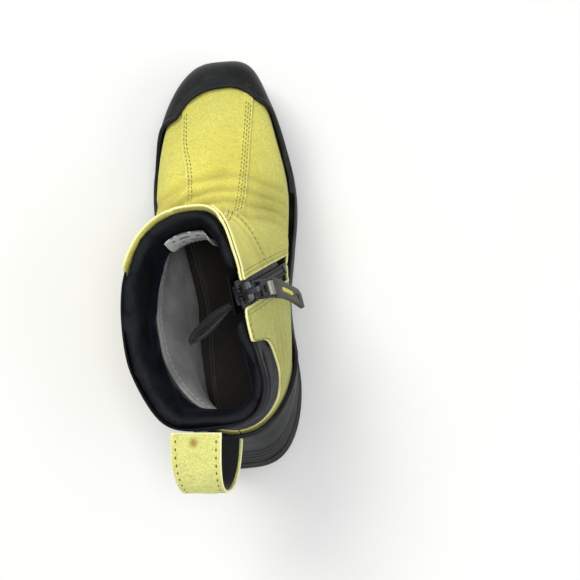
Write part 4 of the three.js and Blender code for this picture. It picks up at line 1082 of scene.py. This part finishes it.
rand = Panel(
    "toe_rand_rubber",
    -0.215,
    0.18,
    0,
    lambda share: through(RAND_TOP, mix(-0.215, 0.18, share)),
    RAND_GAP + RAND,
    RAND,
    180,
    26,
    rand_relief,
)
heel_cup = Panel(
    "heel_cup_rubber",
    0.5 - HEEL_CUP_SPAN,
    0.5 + HEEL_CUP_SPAN,
    0,
    lambda share: through(HEEL_CUP_TOP, np.abs(mix(-HEEL_CUP_SPAN, HEEL_CUP_SPAN, share))),
    RAND_GAP + RAND,
    RAND,
    110,
    40,
    heel_relief,
)
finish_piece(rand.piece, SHAFT_RUBBER, "boot", "rand_rubber", "toe_rand")
finish_piece(heel_cup.piece, SHAFT_RUBBER, "boot", "rand_rubber", "heel_cup")

# ---- Softshell ankle panel, collar and lining ----

ANKLE_MEDIAL = [(0.8, 0.306), (0.86, 0.293), (1, 0.284)]
ANKLE_LATERAL = [(0.8, 0.785), (0.86, 0.814), (1, 0.834)]
PAD_TO_ZIP = 14
COLLAR_BOTTOM = 0.7


def ankle_medial(level):
    return through(ANKLE_MEDIAL, level) - 0.006


def ankle_lateral(level):
    return through(ANKLE_LATERAL, level) + 0.006


def ankle_bottom(share):
    turn = mix(through(ANKLE_MEDIAL, EDGE_LEVEL), through(ANKLE_LATERAL, EDGE_LEVEL), share)
    return through(SUEDE_TOP, turn - np.round(turn - 0.001)) - 0.02


def slack_cloth(place):
    """Soft folds that run round the ankle, tucked under the suede at the sides and bottom."""
    folds = unevenness(place.base * np.array([0.45, 0.45, 1]), 11, 21)
    inner = smooth(0, 9, np.minimum(np.minimum(place.left, place.right), place.under))
    return inner * (0.9 * folds + 0.9) + 0.9 * bump(place.over, 6, 5) - 0.9 * bump(place.over, 12, 2.5)


ankle = Panel(
    "ankle_softshell",
    ankle_medial,
    ankle_lateral,
    ankle_bottom,
    0.985,
    -0.9,
    1.4,
    120,
    34,
    slack_cloth,
)
finish_piece(ankle.piece, SOFTSHELL, "boot", "softshell", "ankle_panel")


def behind_corners(turn):
    """1 round the back of the collar, where no suede covers it, and 0 round the front."""
    wrapped = turn - np.round(turn)
    return np.where(wrapped > 0, smooth(0.268, 0.3, wrapped), smooth(0.155, 0.19, -wrapped))


def collar_roll(place):
    rolled = smooth(0.9, 0.955, place.level) * behind_corners(place.turn)
    slack = 0.8 * unevenness(place.base * np.array([0.6, 0.6, 1]), 13, 31)
    return 1.8 * rolled + slack * smooth(0, 6, place.under)


def stuffed(piece, most, pressure, voxel):
    """Fills a padded piece like a cushion, moving no point by more than most mm, and leaves a plain mesh."""
    select_only(piece)
    remesh = piece.modifiers.new("skin", "REMESH")
    remesh.mode = "VOXEL"
    remesh.voxel_size = voxel * MM
    remesh.use_smooth_shade = True
    bpy.ops.object.modifier_apply(modifier=remesh.name)
    rest = np.zeros(len(piece.data.vertices) * 3)
    piece.data.vertices.foreach_get("co", rest)
    cloth = piece.modifiers.new("filling", "CLOTH")
    cloth.settings.use_pressure = True
    cloth.settings.uniform_pressure_force = pressure
    cloth.settings.effector_weights.gravity = 0
    cloth.settings.quality = 5
    cloth.point_cache.frame_start = 1
    cloth.point_cache.frame_end = 20
    for step in range(1, 21):
        bpy.context.scene.frame_set(step)
    evaluated = piece.evaluated_get(bpy.context.evaluated_depsgraph_get())
    moved = np.zeros(len(evaluated.data.vertices) * 3)
    evaluated.data.vertices.foreach_get("co", moved)
    piece.modifiers.remove(cloth)
    bpy.context.scene.frame_set(1)
    shift = (moved - rest).reshape(-1, 3)
    size = np.linalg.norm(shift, axis=1, keepdims=True)
    shift *= np.minimum(1, most * MM / np.maximum(size, 1e-9))
    piece.data.vertices.foreach_set("co", (rest.reshape(-1, 3) + shift).ravel())
    smoothing = piece.modifiers.new("smoothing", "SUBSURF")
    smoothing.levels = smoothing.render_levels = 1
    bpy.ops.object.modifier_apply(modifier=smoothing.name)
    piece.data.polygons.foreach_set("use_smooth", [True] * len(piece.data.polygons))


def select_only(piece):
    bpy.ops.object.select_all(action="DESELECT")
    piece.select_set(True)
    bpy.context.view_layer.objects.active = piece


collar = Panel(
    "collar_roll",
    lambda level: skin.zip_turn(level, PAD_TO_ZIP),
    lambda level: 1 + skin.zip_turn(level, -PAD_TO_ZIP),
    COLLAR_BOTTOM,
    1,
    -2.7,
    8.4,
    150,
    26,
    collar_roll,
)
stuffed(collar.piece, 2.2, 4.0, 4.0)
finish_piece(collar.piece, SOFTSHELL, "boot", "softshell", "collar_pad")

gusset = Panel(
    "zip_gusset_cloth",
    lambda level: skin.zip_turn(level, 1.2 - PAD_TO_ZIP),
    lambda level: skin.zip_turn(level, PAD_TO_ZIP - 1.2),
    COLLAR_BOTTOM,
    0.97,
    LINING_INNER + 2,
    1,
    20,
    30,
    lambda p: 0.5 * unevenness(p.base, 12, 41),
)
finish_piece(gusset.piece, SOFTSHELL, "boot", "softshell", "zip_gusset")

FELT_TOP = 0.69


def felt_top(share):
    return np.full(np.shape(share), FELT_TOP)


lining = Panel(
    "lining_felt",
    0,
    1,
    0.07,
    felt_top,
    LINING_INNER + 2.3,
    2.3,
    200,
    46,
    lambda p: 0.5 * unevenness(p.base, 18, 51) - 0.4 * bump(p.over, 5, 1.6),
    ring=True,
)
finish_piece(lining.piece, GREY_FELT, "boot", "felt", "felt_lining")

label = Panel(
    "collar_label_cloth",
    -0.08,
    0.078,
    0.83,
    0.955,
    LINING_INNER - 2.2,
    0.6,
    26,
    14,
    lambda p: 0.25 * unevenness(p.base, 15, 61) - 0.3 * (1 - smooth(0, 4, np.minimum(p.left, p.right))),
)
finish_piece(label.piece, LABEL_CLOTH, "boot", "label", "collar_label")

# ---- Layers of the sole ----

PLAN_STEPS = 360


def plan_ring(grow, height):
    """A ring round the foot, grow mm outside the upper's lowest outline, at a height given by its place."""
    angle = np.linspace(0, 2 * math.pi, PLAN_STEPS + 1)[:-1]
    turn = (angle - 0.25 * np.sin(2 * angle)) / (2 * math.pi)
    place = skin.at(turn, 0)
    along = skin.at(turn + 0.004, 0) - skin.at(turn - 0.004, 0)
    along[:, 2] = 0
    along = unit(along)
    out = grow(place) if callable(grow) else grow
    place[:, 0] -= along[:, 1] * out
    place[:, 1] += along[:, 0] * out
    place[:, 2] = height(place[:, 1])
    return place


def plan_piece(name, layers, across=16, crown=None):
    """A layer that follows the plan of the foot, closed by a grid over its bottom and its top."""
    rings = [plan_ring(grow, height) for grow, height in layers]
    points = list(np.concatenate(rings))
    faces = grid_faces(len(rings), PLAN_STEPS, 0, True)
    half = PLAN_STEPS // 2
    for first, up in ((0, False), ((len(rings) - 1) * PLAN_STEPS, True)):
        grid = {}
        for i in range(half + 1):
            left, right = first + i, first + (PLAN_STEPS - i) % PLAN_STEPS
            for k in range(across + 1):
                if i in (0, half) or k == 0:
                    grid[i, k] = left
                elif k == across:
                    grid[i, k] = right
                else:
                    point = mix(points[left], points[right], k / across)
                    if up and crown:
                        point = point + np.array([0, 0, crown(point, k / across)])
                    grid[i, k] = len(points)
                    points.append(point)
        for i in range(half):
            for k in range(across):
                face = [grid[i, k], grid[i + 1, k], grid[i + 1, k + 1], grid[i, k + 1]]
                face = list(dict.fromkeys(face))
                if len(face) > 2:
                    faces.append(face if up else face[::-1])
    return make_piece(name, np.array(points), faces)


BOARD = 2
FOOTBED = 5
HEEL_BREAST = 0.14 * SOLE_LENGTH
TREAD_BACK = 0.3 * SOLE_LENGTH


def tread_base(y):
    arch = smooth(HEEL_BREAST, HEEL_BREAST + 12, y) - smooth(TREAD_BACK - 12, TREAD_BACK, y)
    return LUG_DEPTH + 4 * arch + toe_lift(y)


def rubber_top(y):
    return tread_base(y) + RUBBER


def between_soles(share):
    return lambda y: mix(rubber_top(y) + REST_GAP, sole_top(y), share)


def heel_ridge(base, depth):
    """A ring of the midsole that swells into a ridge round the heel."""
    return lambda place: base + depth * smooth(45, 20, place[:, 1])


UPPER_RIDGES = ((0.14, 0.5), (0.2, -0.5), (0.27, -0.4), (0.34, 0.8), (0.42, 0.7), (0.47, -0.5), (0.54, -0.4))
LOWER_RIDGES = ((0.61, 0.8), (0.69, 0.7), (0.74, -0.5), (0.8, -0.4), (0.86, 0.5))


def midsole_profile():
    steps = ((-0.8, 0), (-0.1, 0.02), (0.6, 0.07))
    layers = [(WELT + step, between_soles(share)) for step, share in steps]
    for share, depth in UPPER_RIDGES:
        layers.append((heel_ridge(WELT + 0.7 - 1.6 * share, depth), between_soles(share)))
    for share, depth in LOWER_RIDGES:
        layers.append((heel_ridge(WELT + 0.2 - 0.9 * share, depth), between_soles(share)))
    layers.append((WELT - 0.7, between_soles(0.93)))
    layers.append((WELT - 1.2, between_soles(0.985)))
    layers.append((WELT - 1.9, between_soles(1)))
    return layers


midsole = plan_piece("midsole_rubber", midsole_profile())
finish_piece(midsole, SOLE_RUBBER, "boot", "sole_rubber", "midsole")


def board_top(y):
    return sole_top(y) + REST_GAP + BOARD


def footbed_height(share):
    return lambda y: board_top(y) + REST_GAP + FOOTBED * share


def foot_hollow(point, share):
    """The footbed dips along its middle and has a slight fibrous unevenness."""
    dip = -1.5 * math.sin(math.pi * share) ** 0.7
    return dip + 0.25 * float(unevenness(point[None], 16, 71)[0])


FOOTBED_GROW = LINING_INNER - 4
footbed = plan_piece(
    "footbed_padded",
    [
        (FOOTBED_GROW - 0.5, footbed_height(0)),
        (FOOTBED_GROW, footbed_height(0.12)),
        (FOOTBED_GROW, footbed_height(0.75)),
        (FOOTBED_GROW - 0.5, footbed_height(0.92)),
        (FOOTBED_GROW - 1.6, footbed_height(1)),
    ],
    20,
    foot_hollow,
)
finish_piece(footbed, FOOTBED_CLOTH, "boot", "footbed", "footbed")

# ---- Hard pieces shaped one by one ----


def in_edit_mode(piece):
    select_only(piece)
    bpy.ops.object.mode_set(mode="EDIT")
    bpy.ops.mesh.select_all(action="SELECT")


def settle(piece):
    """Leaves a piece at the origin with its place in its mesh, shaded smooth except at its corners."""
    select_only(piece)
    bpy.ops.object.transform_apply(location=True, rotation=True, scale=True)
    bpy.ops.object.shade_smooth_by_angle(angle=SMOOTH_ANGLE)
    return piece


def rounded_copy(node, name, width, segments=3):
    """A copy of a CAD node with its corners rounded over."""
    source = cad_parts[node]
    piece = bpy.data.objects.new(name, source.data.copy())
    piece.data.transform(source.matrix_world)
    bpy.context.collection.objects.link(piece)
    piece.hide_set(False)
    in_edit_mode(piece)
    bpy.ops.mesh.remove_doubles(threshold=0.00001)
    bpy.ops.mesh.dissolve_limited(angle_limit=math.radians(1))
    bpy.ops.object.mode_set(mode="OBJECT")
    rounding = piece.modifiers.new("rounding", "BEVEL")
    rounding.width = width * MM
    rounding.segments = segments
    rounding.limit_method = "ANGLE"
    rounding.angle_limit = math.radians(28)
    rounding.use_clamp_overlap = True
    bpy.ops.object.modifier_apply(modifier=rounding.name)
    return settle(piece)


def block(name, low, high, rounding, segments=2):
    """A block between two corners in mm, with rounded corners."""
    bpy.ops.object.select_all(action="DESELECT")
    size = [b - a for a, b in zip(low, high)]
    middle = [(a + b) / 2 * MM for a, b in zip(low, high)]
    bpy.ops.mesh.primitive_cube_add(size=MM, location=middle, scale=size)
    piece = bpy.context.object
    piece.name = name
    bpy.ops.object.transform_apply(location=True, rotation=True, scale=True)
    in_edit_mode(piece)
    bpy.ops.mesh.bevel(offset=rounding * MM, segments=segments)
    bpy.ops.object.mode_set(mode="OBJECT")
    return piece


def join(name, pieces):
    """One piece from several."""
    bpy.ops.object.select_all(action="DESELECT")
    for piece in pieces:
        piece.select_set(True)
    bpy.context.view_layer.objects.active = pieces[0]
    bpy.ops.object.join()
    pieces[0].name = name
    return pieces[0]


def copied(piece, shift):
    """A copy of a piece with its own mesh, moved by mm."""
    twin = bpy.data.objects.new(piece.name, piece.data.copy())
    twin.data.transform(Matrix.Translation(Vector(shift) * MM))
    bpy.context.collection.objects.link(twin)
    return twin


outsole = rounded_copy("outsole", "outsole_rubber", 0.7)
finish_piece(outsole, SOLE_RUBBER, "boot", "sole_rubber", "outsole")

# ---- Zip ----
# Its own frame has +X down the zip, +Y across it towards the toe and +Z out of the boot.

down = unit(zip_bottom - zip_top)
middle_level = (1 + zip_bottom_level) / 2
facing = skin.read(skin.normal, skin.zip_turn(middle_level), middle_level)
across_zip = unit(np.cross(facing, down))
out_of_zip = np.cross(down, across_zip)
ZIP_FRAME = Matrix.Identity(4)
for column, axis in enumerate((down, across_zip, out_of_zip)):
    for row in range(3):
        ZIP_FRAME[row][column] = axis[row]
ZIP_FRAME.translation = Vector(zip_top) * MM

TAPE_DEPTH = SUEDE + 1.6
CHAIN_Z = -(TAPE_DEPTH + TAPE_THICK / 2)
CHAIN_HALF = CHAIN_WIDTH / 2
STOP_LENGTH = 3
CHAIN_START = STOP_LENGTH + 0.7 + 3 + 0.7
CHAIN_END = zip_length - STOP_LENGTH - REST_GAP
FINE_PITCH = 2.1


def on_zip(piece):
    piece.data.transform(ZIP_FRAME)
    return settle(piece)


def tooth(side, x):
    """A moulded tooth with a neck and a rounded head that reaches past the middle of the chain."""
    near, far = min(0, side * 2.6), max(0, side * 2.6)
    neck = block("tooth", (x, near, CHAIN_Z - 1.1), (x + 0.8, far, CHAIN_Z + 1.1), 0.2, 1)
    low, high = sorted((side * -0.9, side * 1.0))
    head = block("tooth_head", (x - 0.15, low, CHAIN_Z - 1.4), (x + 0.95, high, CHAIN_Z + 1.4), 0.35, 1)
    low, high = sorted((side * 2.2, side * CHAIN_HALF))
    foot = block("tooth_foot", (x - 0.1, low, CHAIN_Z - 1.45), (x + 0.9, high, CHAIN_Z + 1.45), 0.3, 1)
    return join("tooth", [neck, head, foot])


def teeth_row(name, side):
    first = tooth(side, CHAIN_START + (0 if side > 0 else FINE_PITCH / 2))
    count = int((CHAIN_END - CHAIN_START - 2) / FINE_PITCH)
    teeth = [first] + [copied(first, (FINE_PITCH * i, 0, 0)) for i in range(1, count)]
    low, high = sorted((side * (CHAIN_HALF - 1.5), side * (CHAIN_HALF - 0.2)))
    spine = block("spine", (CHAIN_START, low, CHAIN_Z - 0.8), (CHAIN_END, high, CHAIN_Z + 0.8), 0.3)
    return on_zip(join(name, [spine, *teeth]))


finish_piece(teeth_row("teeth_front", 1), ZIP_PLASTIC, "boot", "zip_plastic", "zip_teeth_front")
finish_piece(teeth_row("teeth_rear", -1), ZIP_PLASTIC, "boot", "zip_plastic", "zip_teeth_rear")
for stop in ("zip_bottom_stop", "zip_top_stop_front", "zip_top_stop_rear"):
    finish_piece(rounded_copy(stop, stop + "_rounded", 0.5), ZIP_METAL, "boot", "zip_metal", stop)


def woven_tape(name, side):
    """A tape with a thicker corded edge beside the teeth."""
    x = np.linspace(0.5, zip_length - 4 * STOP_LENGTH, 90)
    y = CHAIN_HALF + 0.3 + np.concatenate([[0, 0.15, 0.5, 0.9, 1.25], np.linspace(1.6, 4.7, 7)])
    grid_x, grid_y = np.meshgrid(x, y, indexing="ij")
    cord = 0.4 * bump(grid_y, CHAIN_HALF + 0.85, 0.8)
    edge = np.minimum(grid_y - y[0], y[-1] - grid_y)
    half = TAPE_THICK / 2 * np.clip(edge / 0.3, 0.15, 1)
    ripple = 0.15 * np.sin(grid_x / 4.1) * smooth(6, 8.5, grid_y)
    top = np.stack([grid_x, side * grid_y, CHAIN_Z + half + cord + ripple], axis=-1)
    bottom = np.stack([grid_x, side * grid_y, CHAIN_Z - half - cord + ripple], axis=-1)
    return on_zip(slab_piece(name, top, bottom, edge, grid_y, grid_x))


finish_piece(woven_tape("tape_front", 1), ZIP_TAPE, "boot", "webbing", "zip_tape_front")
finish_piece(woven_tape("tape_rear", -1), ZIP_TAPE, "boot", "webbing", "zip_tape_rear")

slider = rounded_copy("zip_slider", "slider_body", 0.45)
finish_piece(slider, ZIP_METAL, "slider", "zip_metal", "zip_slider")
link = rounded_copy("puller_link", "link_plate", 0.4)
finish_piece(link, ZIP_METAL, "link", "zip_metal", "puller_link")
barrel = rounded_copy("puller_barrel", "barrel_sleeve", 0.5)
finish_piece(barrel, BARREL_METAL, "grip", "barrel_metal", "puller_barrel")
grip = rounded_copy("puller_grip", "grip_tongue", 0.8, 4)
finish_piece(grip, GRIP_PLASTIC, "grip", "grip_plastic", "puller_grip")

# The puller's own frame lies on the zip's, turned a little towards the heel and lifted off it.
BARREL_RADIUS = 2.6
SLIDER_TOP = CHAIN_Z + CHAIN_THICK / 2 + 0.7 + 1.4
GRIP_FRAME = (
    ZIP_FRAME
    @ Matrix.Translation(Vector((STOP_LENGTH + 0.35 + 7, 0, SLIDER_TOP + 3.2)) * MM)
    @ Matrix.Rotation(math.radians(-12), 4, "Z")
    @ Matrix.Rotation(math.radians(-20), 4, "Y")
    @ Matrix.Translation(Vector((16.5, 0, 0)) * MM)
)


def grip_insert():
    """A soft bright strip set in the slot of the grip, following its bend."""
    start = BARREL_RADIUS + 0.35
    x = np.linspace(start + 7.3, start + 16.7, 24)
    bend = -0.42 * 25 * ((x - start) / 25) ** 1.6
    end = np.minimum(x - x[0], x[-1] - x)
    half_wide = 1.6 * np.clip(end / 0.8, 0.2, 1) ** 0.5
    around = np.linspace(0, 2 * math.pi, 17)[:-1]
    rings = []
    for i in range(len(x)):
        y = bend[i] + half_wide[i] * np.sign(np.cos(around)) * np.abs(np.cos(around)) ** 0.5
        z = 1.5 * np.sign(np.sin(around)) * np.abs(np.sin(around)) ** 0.5 * min(1, 0.4 + half_wide[i] / 1.6)
        rings.append(np.stack([np.full(16, x[i]), y, z], axis=-1))
    faces = grid_faces(len(x), 16, 0, True)
    faces += [tuple(range(16)), tuple(range(len(x) * 16 - 1, len(x) * 16 - 17, -1))]
    piece = make_piece("grip_insert", np.concatenate(rings), faces)
    piece.data.transform(GRIP_FRAME)
    return settle(piece)


finish_piece(grip_insert(), GRIP_INSERT, "grip", "grip_plastic")

# ---- Loops ----

HEEL_LOOP_WIDTH = 32
HEEL_LOOP_REACH = 34
HEEL_LOOP_HEIGHT = 44
WEBBING = 1.2
LOOP_SUEDE = 1.6
LOOP_LEAN = math.radians(-14)
LOOP_YAW = math.radians(7)
loop_root = skin.at(0.5, 0.82)
LOOP_PLACE = np.array([loop_root[0] - 9, RIM_BACK - 1.6, loop_root[2]])


def half_oval(reach, height, steps):
    angle = math.pi * (0.5 - np.linspace(0, 1, steps + 1))
    return np.stack([reach * np.abs(np.cos(angle)) ** 0.8, height / 2 * np.sin(angle)], axis=-1)


def strap_piece(path, thickness, half_widths, wide_steps, shape=None):
    """The two faces of a strap bent along a path in its own XY plane, with its width along Z."""
    along = unit(np.gradient(path, axis=0))
    normal = np.stack([-along[:, 1], along[:, 0]], axis=-1)
    run = np.concatenate([[0], np.cumsum(np.linalg.norm(np.diff(path, axis=0), axis=1))])
    near = np.array([0, 0.25, 0.6, 1.1, 1.8, 2.6, 3.4, 4.4])
    wide = 2 * float(np.mean(half_widths))
    share = np.concatenate([near, np.linspace(5.6, wide - 5.6, wide_steps), wide - near[::-1]]) / wide
    z = (share[None, :] * 2 - 1) * half_widths[:, None]
    edge = half_widths[:, None] - np.abs(z)
    dip = 0.9 * thickness / 2 * (1 - np.sqrt(1 - (1 - np.clip(edge * 2 / thickness, 0, 1)) ** 2))
    lift = shape(run[:, None] + 0 * z, edge, z) if shape else 0 * z
    faces = []
    for sign in (1, -1):
        shift = lift + sign * (thickness / 2 - dip)
        flat = path[:, None, :] + normal[:, None, :] * shift[..., None]
        faces.append(np.concatenate([flat, z[..., None]], axis=-1))
    ends = np.minimum(run, run[-1] - run)[:, None] + 0 * z
    return faces, np.minimum(edge, ends), z, run[:, None] + 0 * z, normal


def on_heel(points):
    """From the loop's own frame to the boot's."""
    x, y, z = (points[..., k] for k in range(3))
    up = y * math.cos(LOOP_LEAN) + z * math.sin(LOOP_LEAN)
    side = -y * math.sin(LOOP_LEAN) + z * math.cos(LOOP_LEAN)
    out_x = -side * math.cos(LOOP_YAW) - x * math.sin(LOOP_YAW)
    out_y = side * math.sin(LOOP_YAW) - x * math.cos(LOOP_YAW)
    return LOOP_PLACE + np.stack([out_x, out_y, up], axis=-1)


def worn_strap(run, edge, z):
    place = np.stack([run, z, 0 * z], axis=-1)
    return 0.5 * unevenness(place, 16, 81) + 0.2 * unevenness(place, 6, 82) - 0.25 * bump(edge, 3.2, 1.4)


LOST = LOOP_SUEDE / 2 + WEBBING / 2 + REST_GAP
outer_path = half_oval(HEEL_LOOP_REACH, HEEL_LOOP_HEIGHT, 90)
inner_path = half_oval(HEEL_LOOP_REACH - LOST, HEEL_LOOP_HEIGHT - 2 * LOST, 90)
waist = 1 - 0.1 * np.sin(np.linspace(0, math.pi, 91)) ** 2
loop_faces, loop_edge, loop_z, loop_run, loop_normal = strap_piece(
    outer_path, LOOP_SUEDE, HEEL_LOOP_WIDTH / 2 * waist, 14, worn_strap
)
heel_loop_suede = slab_piece(
    "heel_loop_strap", on_heel(loop_faces[0]), on_heel(loop_faces[1]), loop_edge, loop_z, loop_run
)
inner_faces, inner_edge, inner_z, inner_run, _ = strap_piece(
    inner_path, WEBBING, (HEEL_LOOP_WIDTH / 2 - 1.5) * waist, 14, lambda run, edge, z: 0 * z
)
heel_loop_webbing = slab_piece(
    "heel_loop_lining", on_heel(inner_faces[0]), on_heel(inner_faces[1]), inner_edge, inner_z, inner_run
)


def teardrop(length, width, steps):
    share = np.linspace(0, 1, steps + 1)
    angle = 2 * math.pi * share
    x = length * (1 - np.cos(angle)) / 2
    y = width / 2 * np.sin(angle) * np.abs(np.sin(angle / 2)) ** 0.6
    side = np.where(share < 0.5, 1, -1)
    return np.stack([x, y + side * (WEBBING / 2 + 0.1) * (1 - np.sin(angle / 2))], axis=-1)


def finger_loop():
    """A folded tape, drawn together along its lower edge, inside the collar behind the top of the zip."""
    level = 0.93
    turn = skin.zip_turn(level, 7)
    normal = skin.read(skin.normal, turn, level)
    place = skin.at(turn, level, LINING_INNER + 1 - 3.5)
    heading = math.atan2(-normal[1], -normal[0]) + math.radians(38)
    path = teardrop(34, 9, 72)
    half_widths = np.full(73, 5.0)
    faces, edge, z, run, _ = strap_piece(
        path, WEBBING, half_widths, 3, lambda run, edge, z: 0.1 * np.sin(run / 3)
    )
    turned = Matrix.Translation(Vector(place) * MM) @ Matrix.Rotation(heading, 4, "Z")
    drawn = mix(0.15, 1, (z + 5) / 10)
    for face in faces:
        face[..., 1] += path[:, None, 1] * (drawn - 1)
    piece = slab_piece("finger_loop_tape", faces[0], faces[1], edge, z, run)
    piece.data.transform(turned)
    return settle(piece)


finish_piece(finger_loop(), BLACK_WEBBING, "finger_loop", "webbing", "finger_loop")

# ---- Stitches ----


class Stitches:
    """Single stitches laid along lines, gathered into one piece of thread."""

    RINGS = ((-1, 0.0), (-0.82, 0.6), (-0.4, 1.0), (0.4, 1.0), (0.82, 0.6), (1, 0.0))
    SIDES = 6

    def __init__(self, radius):
        self.radius = radius
        self.points, self.faces = [], []

    def one(self, start, end, normal):
        middle, along = (start + end) / 2, (end - start) / 2
        across = unit(np.cross(normal, unit(along)))
        first = len(self.points)
        angles = np.linspace(0, 2 * math.pi, self.SIDES + 1)[:-1]
        for reach, size in self.RINGS[1:-1]:
            for angle in angles:
                around = across * math.cos(angle) + normal * math.sin(angle) * 0.8
                sunk = normal * (0.25 * self.radius - 0.5 * self.radius * abs(reach))
                self.points.append(middle + along * reach + around * size * self.radius + sunk)
        self.faces += grid_faces(4, self.SIDES, first, True)
        tips = len(self.points)
        self.points += [middle - along - normal * self.radius, middle + along - normal * self.radius]
        last = first + 3 * self.SIDES
        for k in range(self.SIDES):
            following = (k + 1) % self.SIDES
            self.faces.append((first + following, tips, first + k))
            self.faces.append((last + k, tips + 1, last + following))

    def along(self, line, pitch=3.6, length=2.7, margin=2.5, keep=None):
        points, normals, turns, levels = line
        run = np.concatenate([[0], np.cumsum(np.linalg.norm(np.diff(points, axis=0), axis=1))])
        if run[-1] < 2 * margin + length:
            return
        count = int((run[-1] - 2 * margin) / pitch)
        for i in range(count):
            at = margin + (i + 0.5) * (run[-1] - 2 * margin) / count
            spots = (at - length / 2, at + length / 2)
            start, end = (np.array([np.interp(s, run, points[:, k]) for k in range(3)]) for s in spots)
            normal = unit(np.array([np.interp(at, run, normals[:, k]) for k in range(3)]))
            if keep is None or keep(np.interp(at, run, turns), np.interp(at, run, levels)):
                self.one(start, end, normal)

    def piece(self, name):
        return make_piece(name, np.array(self.points), self.faces)


def bare(turn, level):
    """True where no rubber lies over the suede."""
    wrapped = turn - round(turn)
    return level > covered(wrapped) + 0.02


def above(lowest):
    return lambda turn, level: level > lowest and bare(turn, level)


seams = Stitches(0.4)
for distance in (2.4, 4.8):
    seams.along(vamp.beside("left", distance), keep=bare)
    seams.along(vamp.beside("right", distance), keep=bare)
    seams.along(forepart.beside("right", distance), keep=lambda turn, level: 0.3 < level < 0.7)
    seams.along(medial.beside("left", distance), keep=above(0.2))
    seams.along(medial.beside("over", distance), keep=bare)
    seams.along(lateral.beside("over", distance), keep=bare)
    seams.along(patch.beside("left", distance))
    seams.along(patch.beside("under", distance), margin=4)
    seams.along(patch.beside("right", distance))
seams.along(vamp.beside("right", 7.2), keep=bare)
finish_piece(seams.piece("seam_stitches"), OLIVE_THREAD, "boot", "suede")

inner_seams = Stitches(0.35)
inner_seams.along(lining.beside("over", 5, "inside"), pitch=4.4, length=2.6)
for side in ("left", "right", "under", "over"):
    inner_seams.along(label.beside(side, 1.6, "inside"), pitch=2.6, length=1.8, margin=1.5)
finish_piece(inner_seams.piece("lining_stitches"), PALE_THREAD, "boot", "felt")


def loop_line(distance):
    """The row of stitches a distance from one edge of the heel loop, on its outer face."""
    sign = 1 if distance > 0 else -1
    points, normals = [], []
    for r, row in enumerate(loop_z):
        wide = row.max() - abs(distance)
        column = float(np.interp(sign * wide, row, np.arange(len(row))))
        c = min(int(column), len(row) - 2)
        points.append(mix(loop_faces[0][r, c], loop_faces[0][r, c + 1], column - c))
        normals.append([*loop_normal[r], 0])
    points = np.array(points)
    straight = on_heel(np.array(normals)) - on_heel(np.zeros((len(normals), 3)))
    return on_heel(points), straight, np.zeros(len(points)), np.ones(len(points))


loop_stitches = Stitches(0.5)
for distance in (3.2, -3.2):
    loop_stitches.along(loop_line(distance), pitch=4.6, length=2.2, margin=3)
loop_thread = loop_stitches.piece("heel_loop_stitches")

for piece, material, record_slot in (
    (heel_loop_suede, LOOP_SUEDE_FINISH, "suede"),
    (heel_loop_webbing, BLACK_WEBBING, "webbing"),
    (loop_thread, DARK_THREAD, "suede"),
):
    piece.data.materials.clear()
    piece.data.materials.append(material)
    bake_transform(piece)
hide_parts("heel_loop_suede")
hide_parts("heel_loop_webbing")

# ---- CAD pieces that stay, hidden inside the boot ----

for name, material in (
    ("shank", SHANK_STEEL),
    ("insole_board", FIBRE_BOARD),
    ("toe_puff", FIBRE_BOARD),
    ("heel_counter", FIBRE_BOARD),
    ("foam_interlining", DARK_FOAM),
):
    for material_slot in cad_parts[name].material_slots:
        material_slot.material = material

# ---- Floor, light and camera ----


def floor():
    bpy.ops.object.select_all(action="DESELECT")
    bpy.ops.mesh.primitive_plane_add(size=60)
    piece = bpy.context.object
    piece.name = "floor"
    f = Finish("pale_floor", Roughness=0.85)
    cloud = f.noise(f.place(), 3.0, 3.0)
    f.tree.links.new(f.blend(cloud, tint(226, 226, 224), tint(232, 232, 230)), f.shader.inputs["Base Color"])
    piece.data.materials.append(f.material)


def lamp(name, place, target, size, power, colour=(1, 1, 1)):
    data = bpy.data.lights.new(name, "AREA")
    data.energy = power
    data.size = size
    data.color = colour
    light = bpy.data.objects.new(name, data)
    bpy.context.collection.objects.link(light)
    light.location = place
    light.rotation_euler = (Vector(target) - Vector(place)).to_track_quat("-Z", "Y").to_euler()


def studio():
    world = bpy.data.worlds.new("studio")
    bpy.context.scene.world = world
    world.use_nodes = True
    background = world.node_tree.nodes["Background"]
    background.inputs["Color"].default_value = tint(236, 238, 240)
    background.inputs["Strength"].default_value = 0.62
    lamp("key", (-0.7, 0.9, 1.5), (0, 0.08, 0.08), 0.8, 17, (1, 0.985, 0.96))
    lamp("overhead", (0.15, -0.25, 1.7), (0, 0.05, 0.08), 0.5, 10)
    lamp("fill", (1.1, -0.5, 1.1), (0, 0.08, 0.08), 1.0, 5, (0.96, 0.98, 1))
    bpy.context.scene.view_settings.view_transform = "Standard"


def camera():
    data = bpy.data.cameras.new("camera")
    data.lens = 67.9
    data.sensor_width = 36
    data.clip_start = 0.01
    eye = bpy.data.objects.new("camera", data)
    bpy.context.collection.objects.link(eye)
    right = Vector((0.9946, -0.1037, 0)).normalized()
    view = Vector((0.0216, 0.2068, -0.9781)).normalized()
    up = right.cross(view).normalized()
    turned = Matrix((right, up, -view)).transposed().to_4x4()
    turned.translation = Vector((24.1, -83.7, 800)) * MM
    eye.matrix_world = turned
    bpy.context.scene.camera = eye


floor()
studio()
camera()
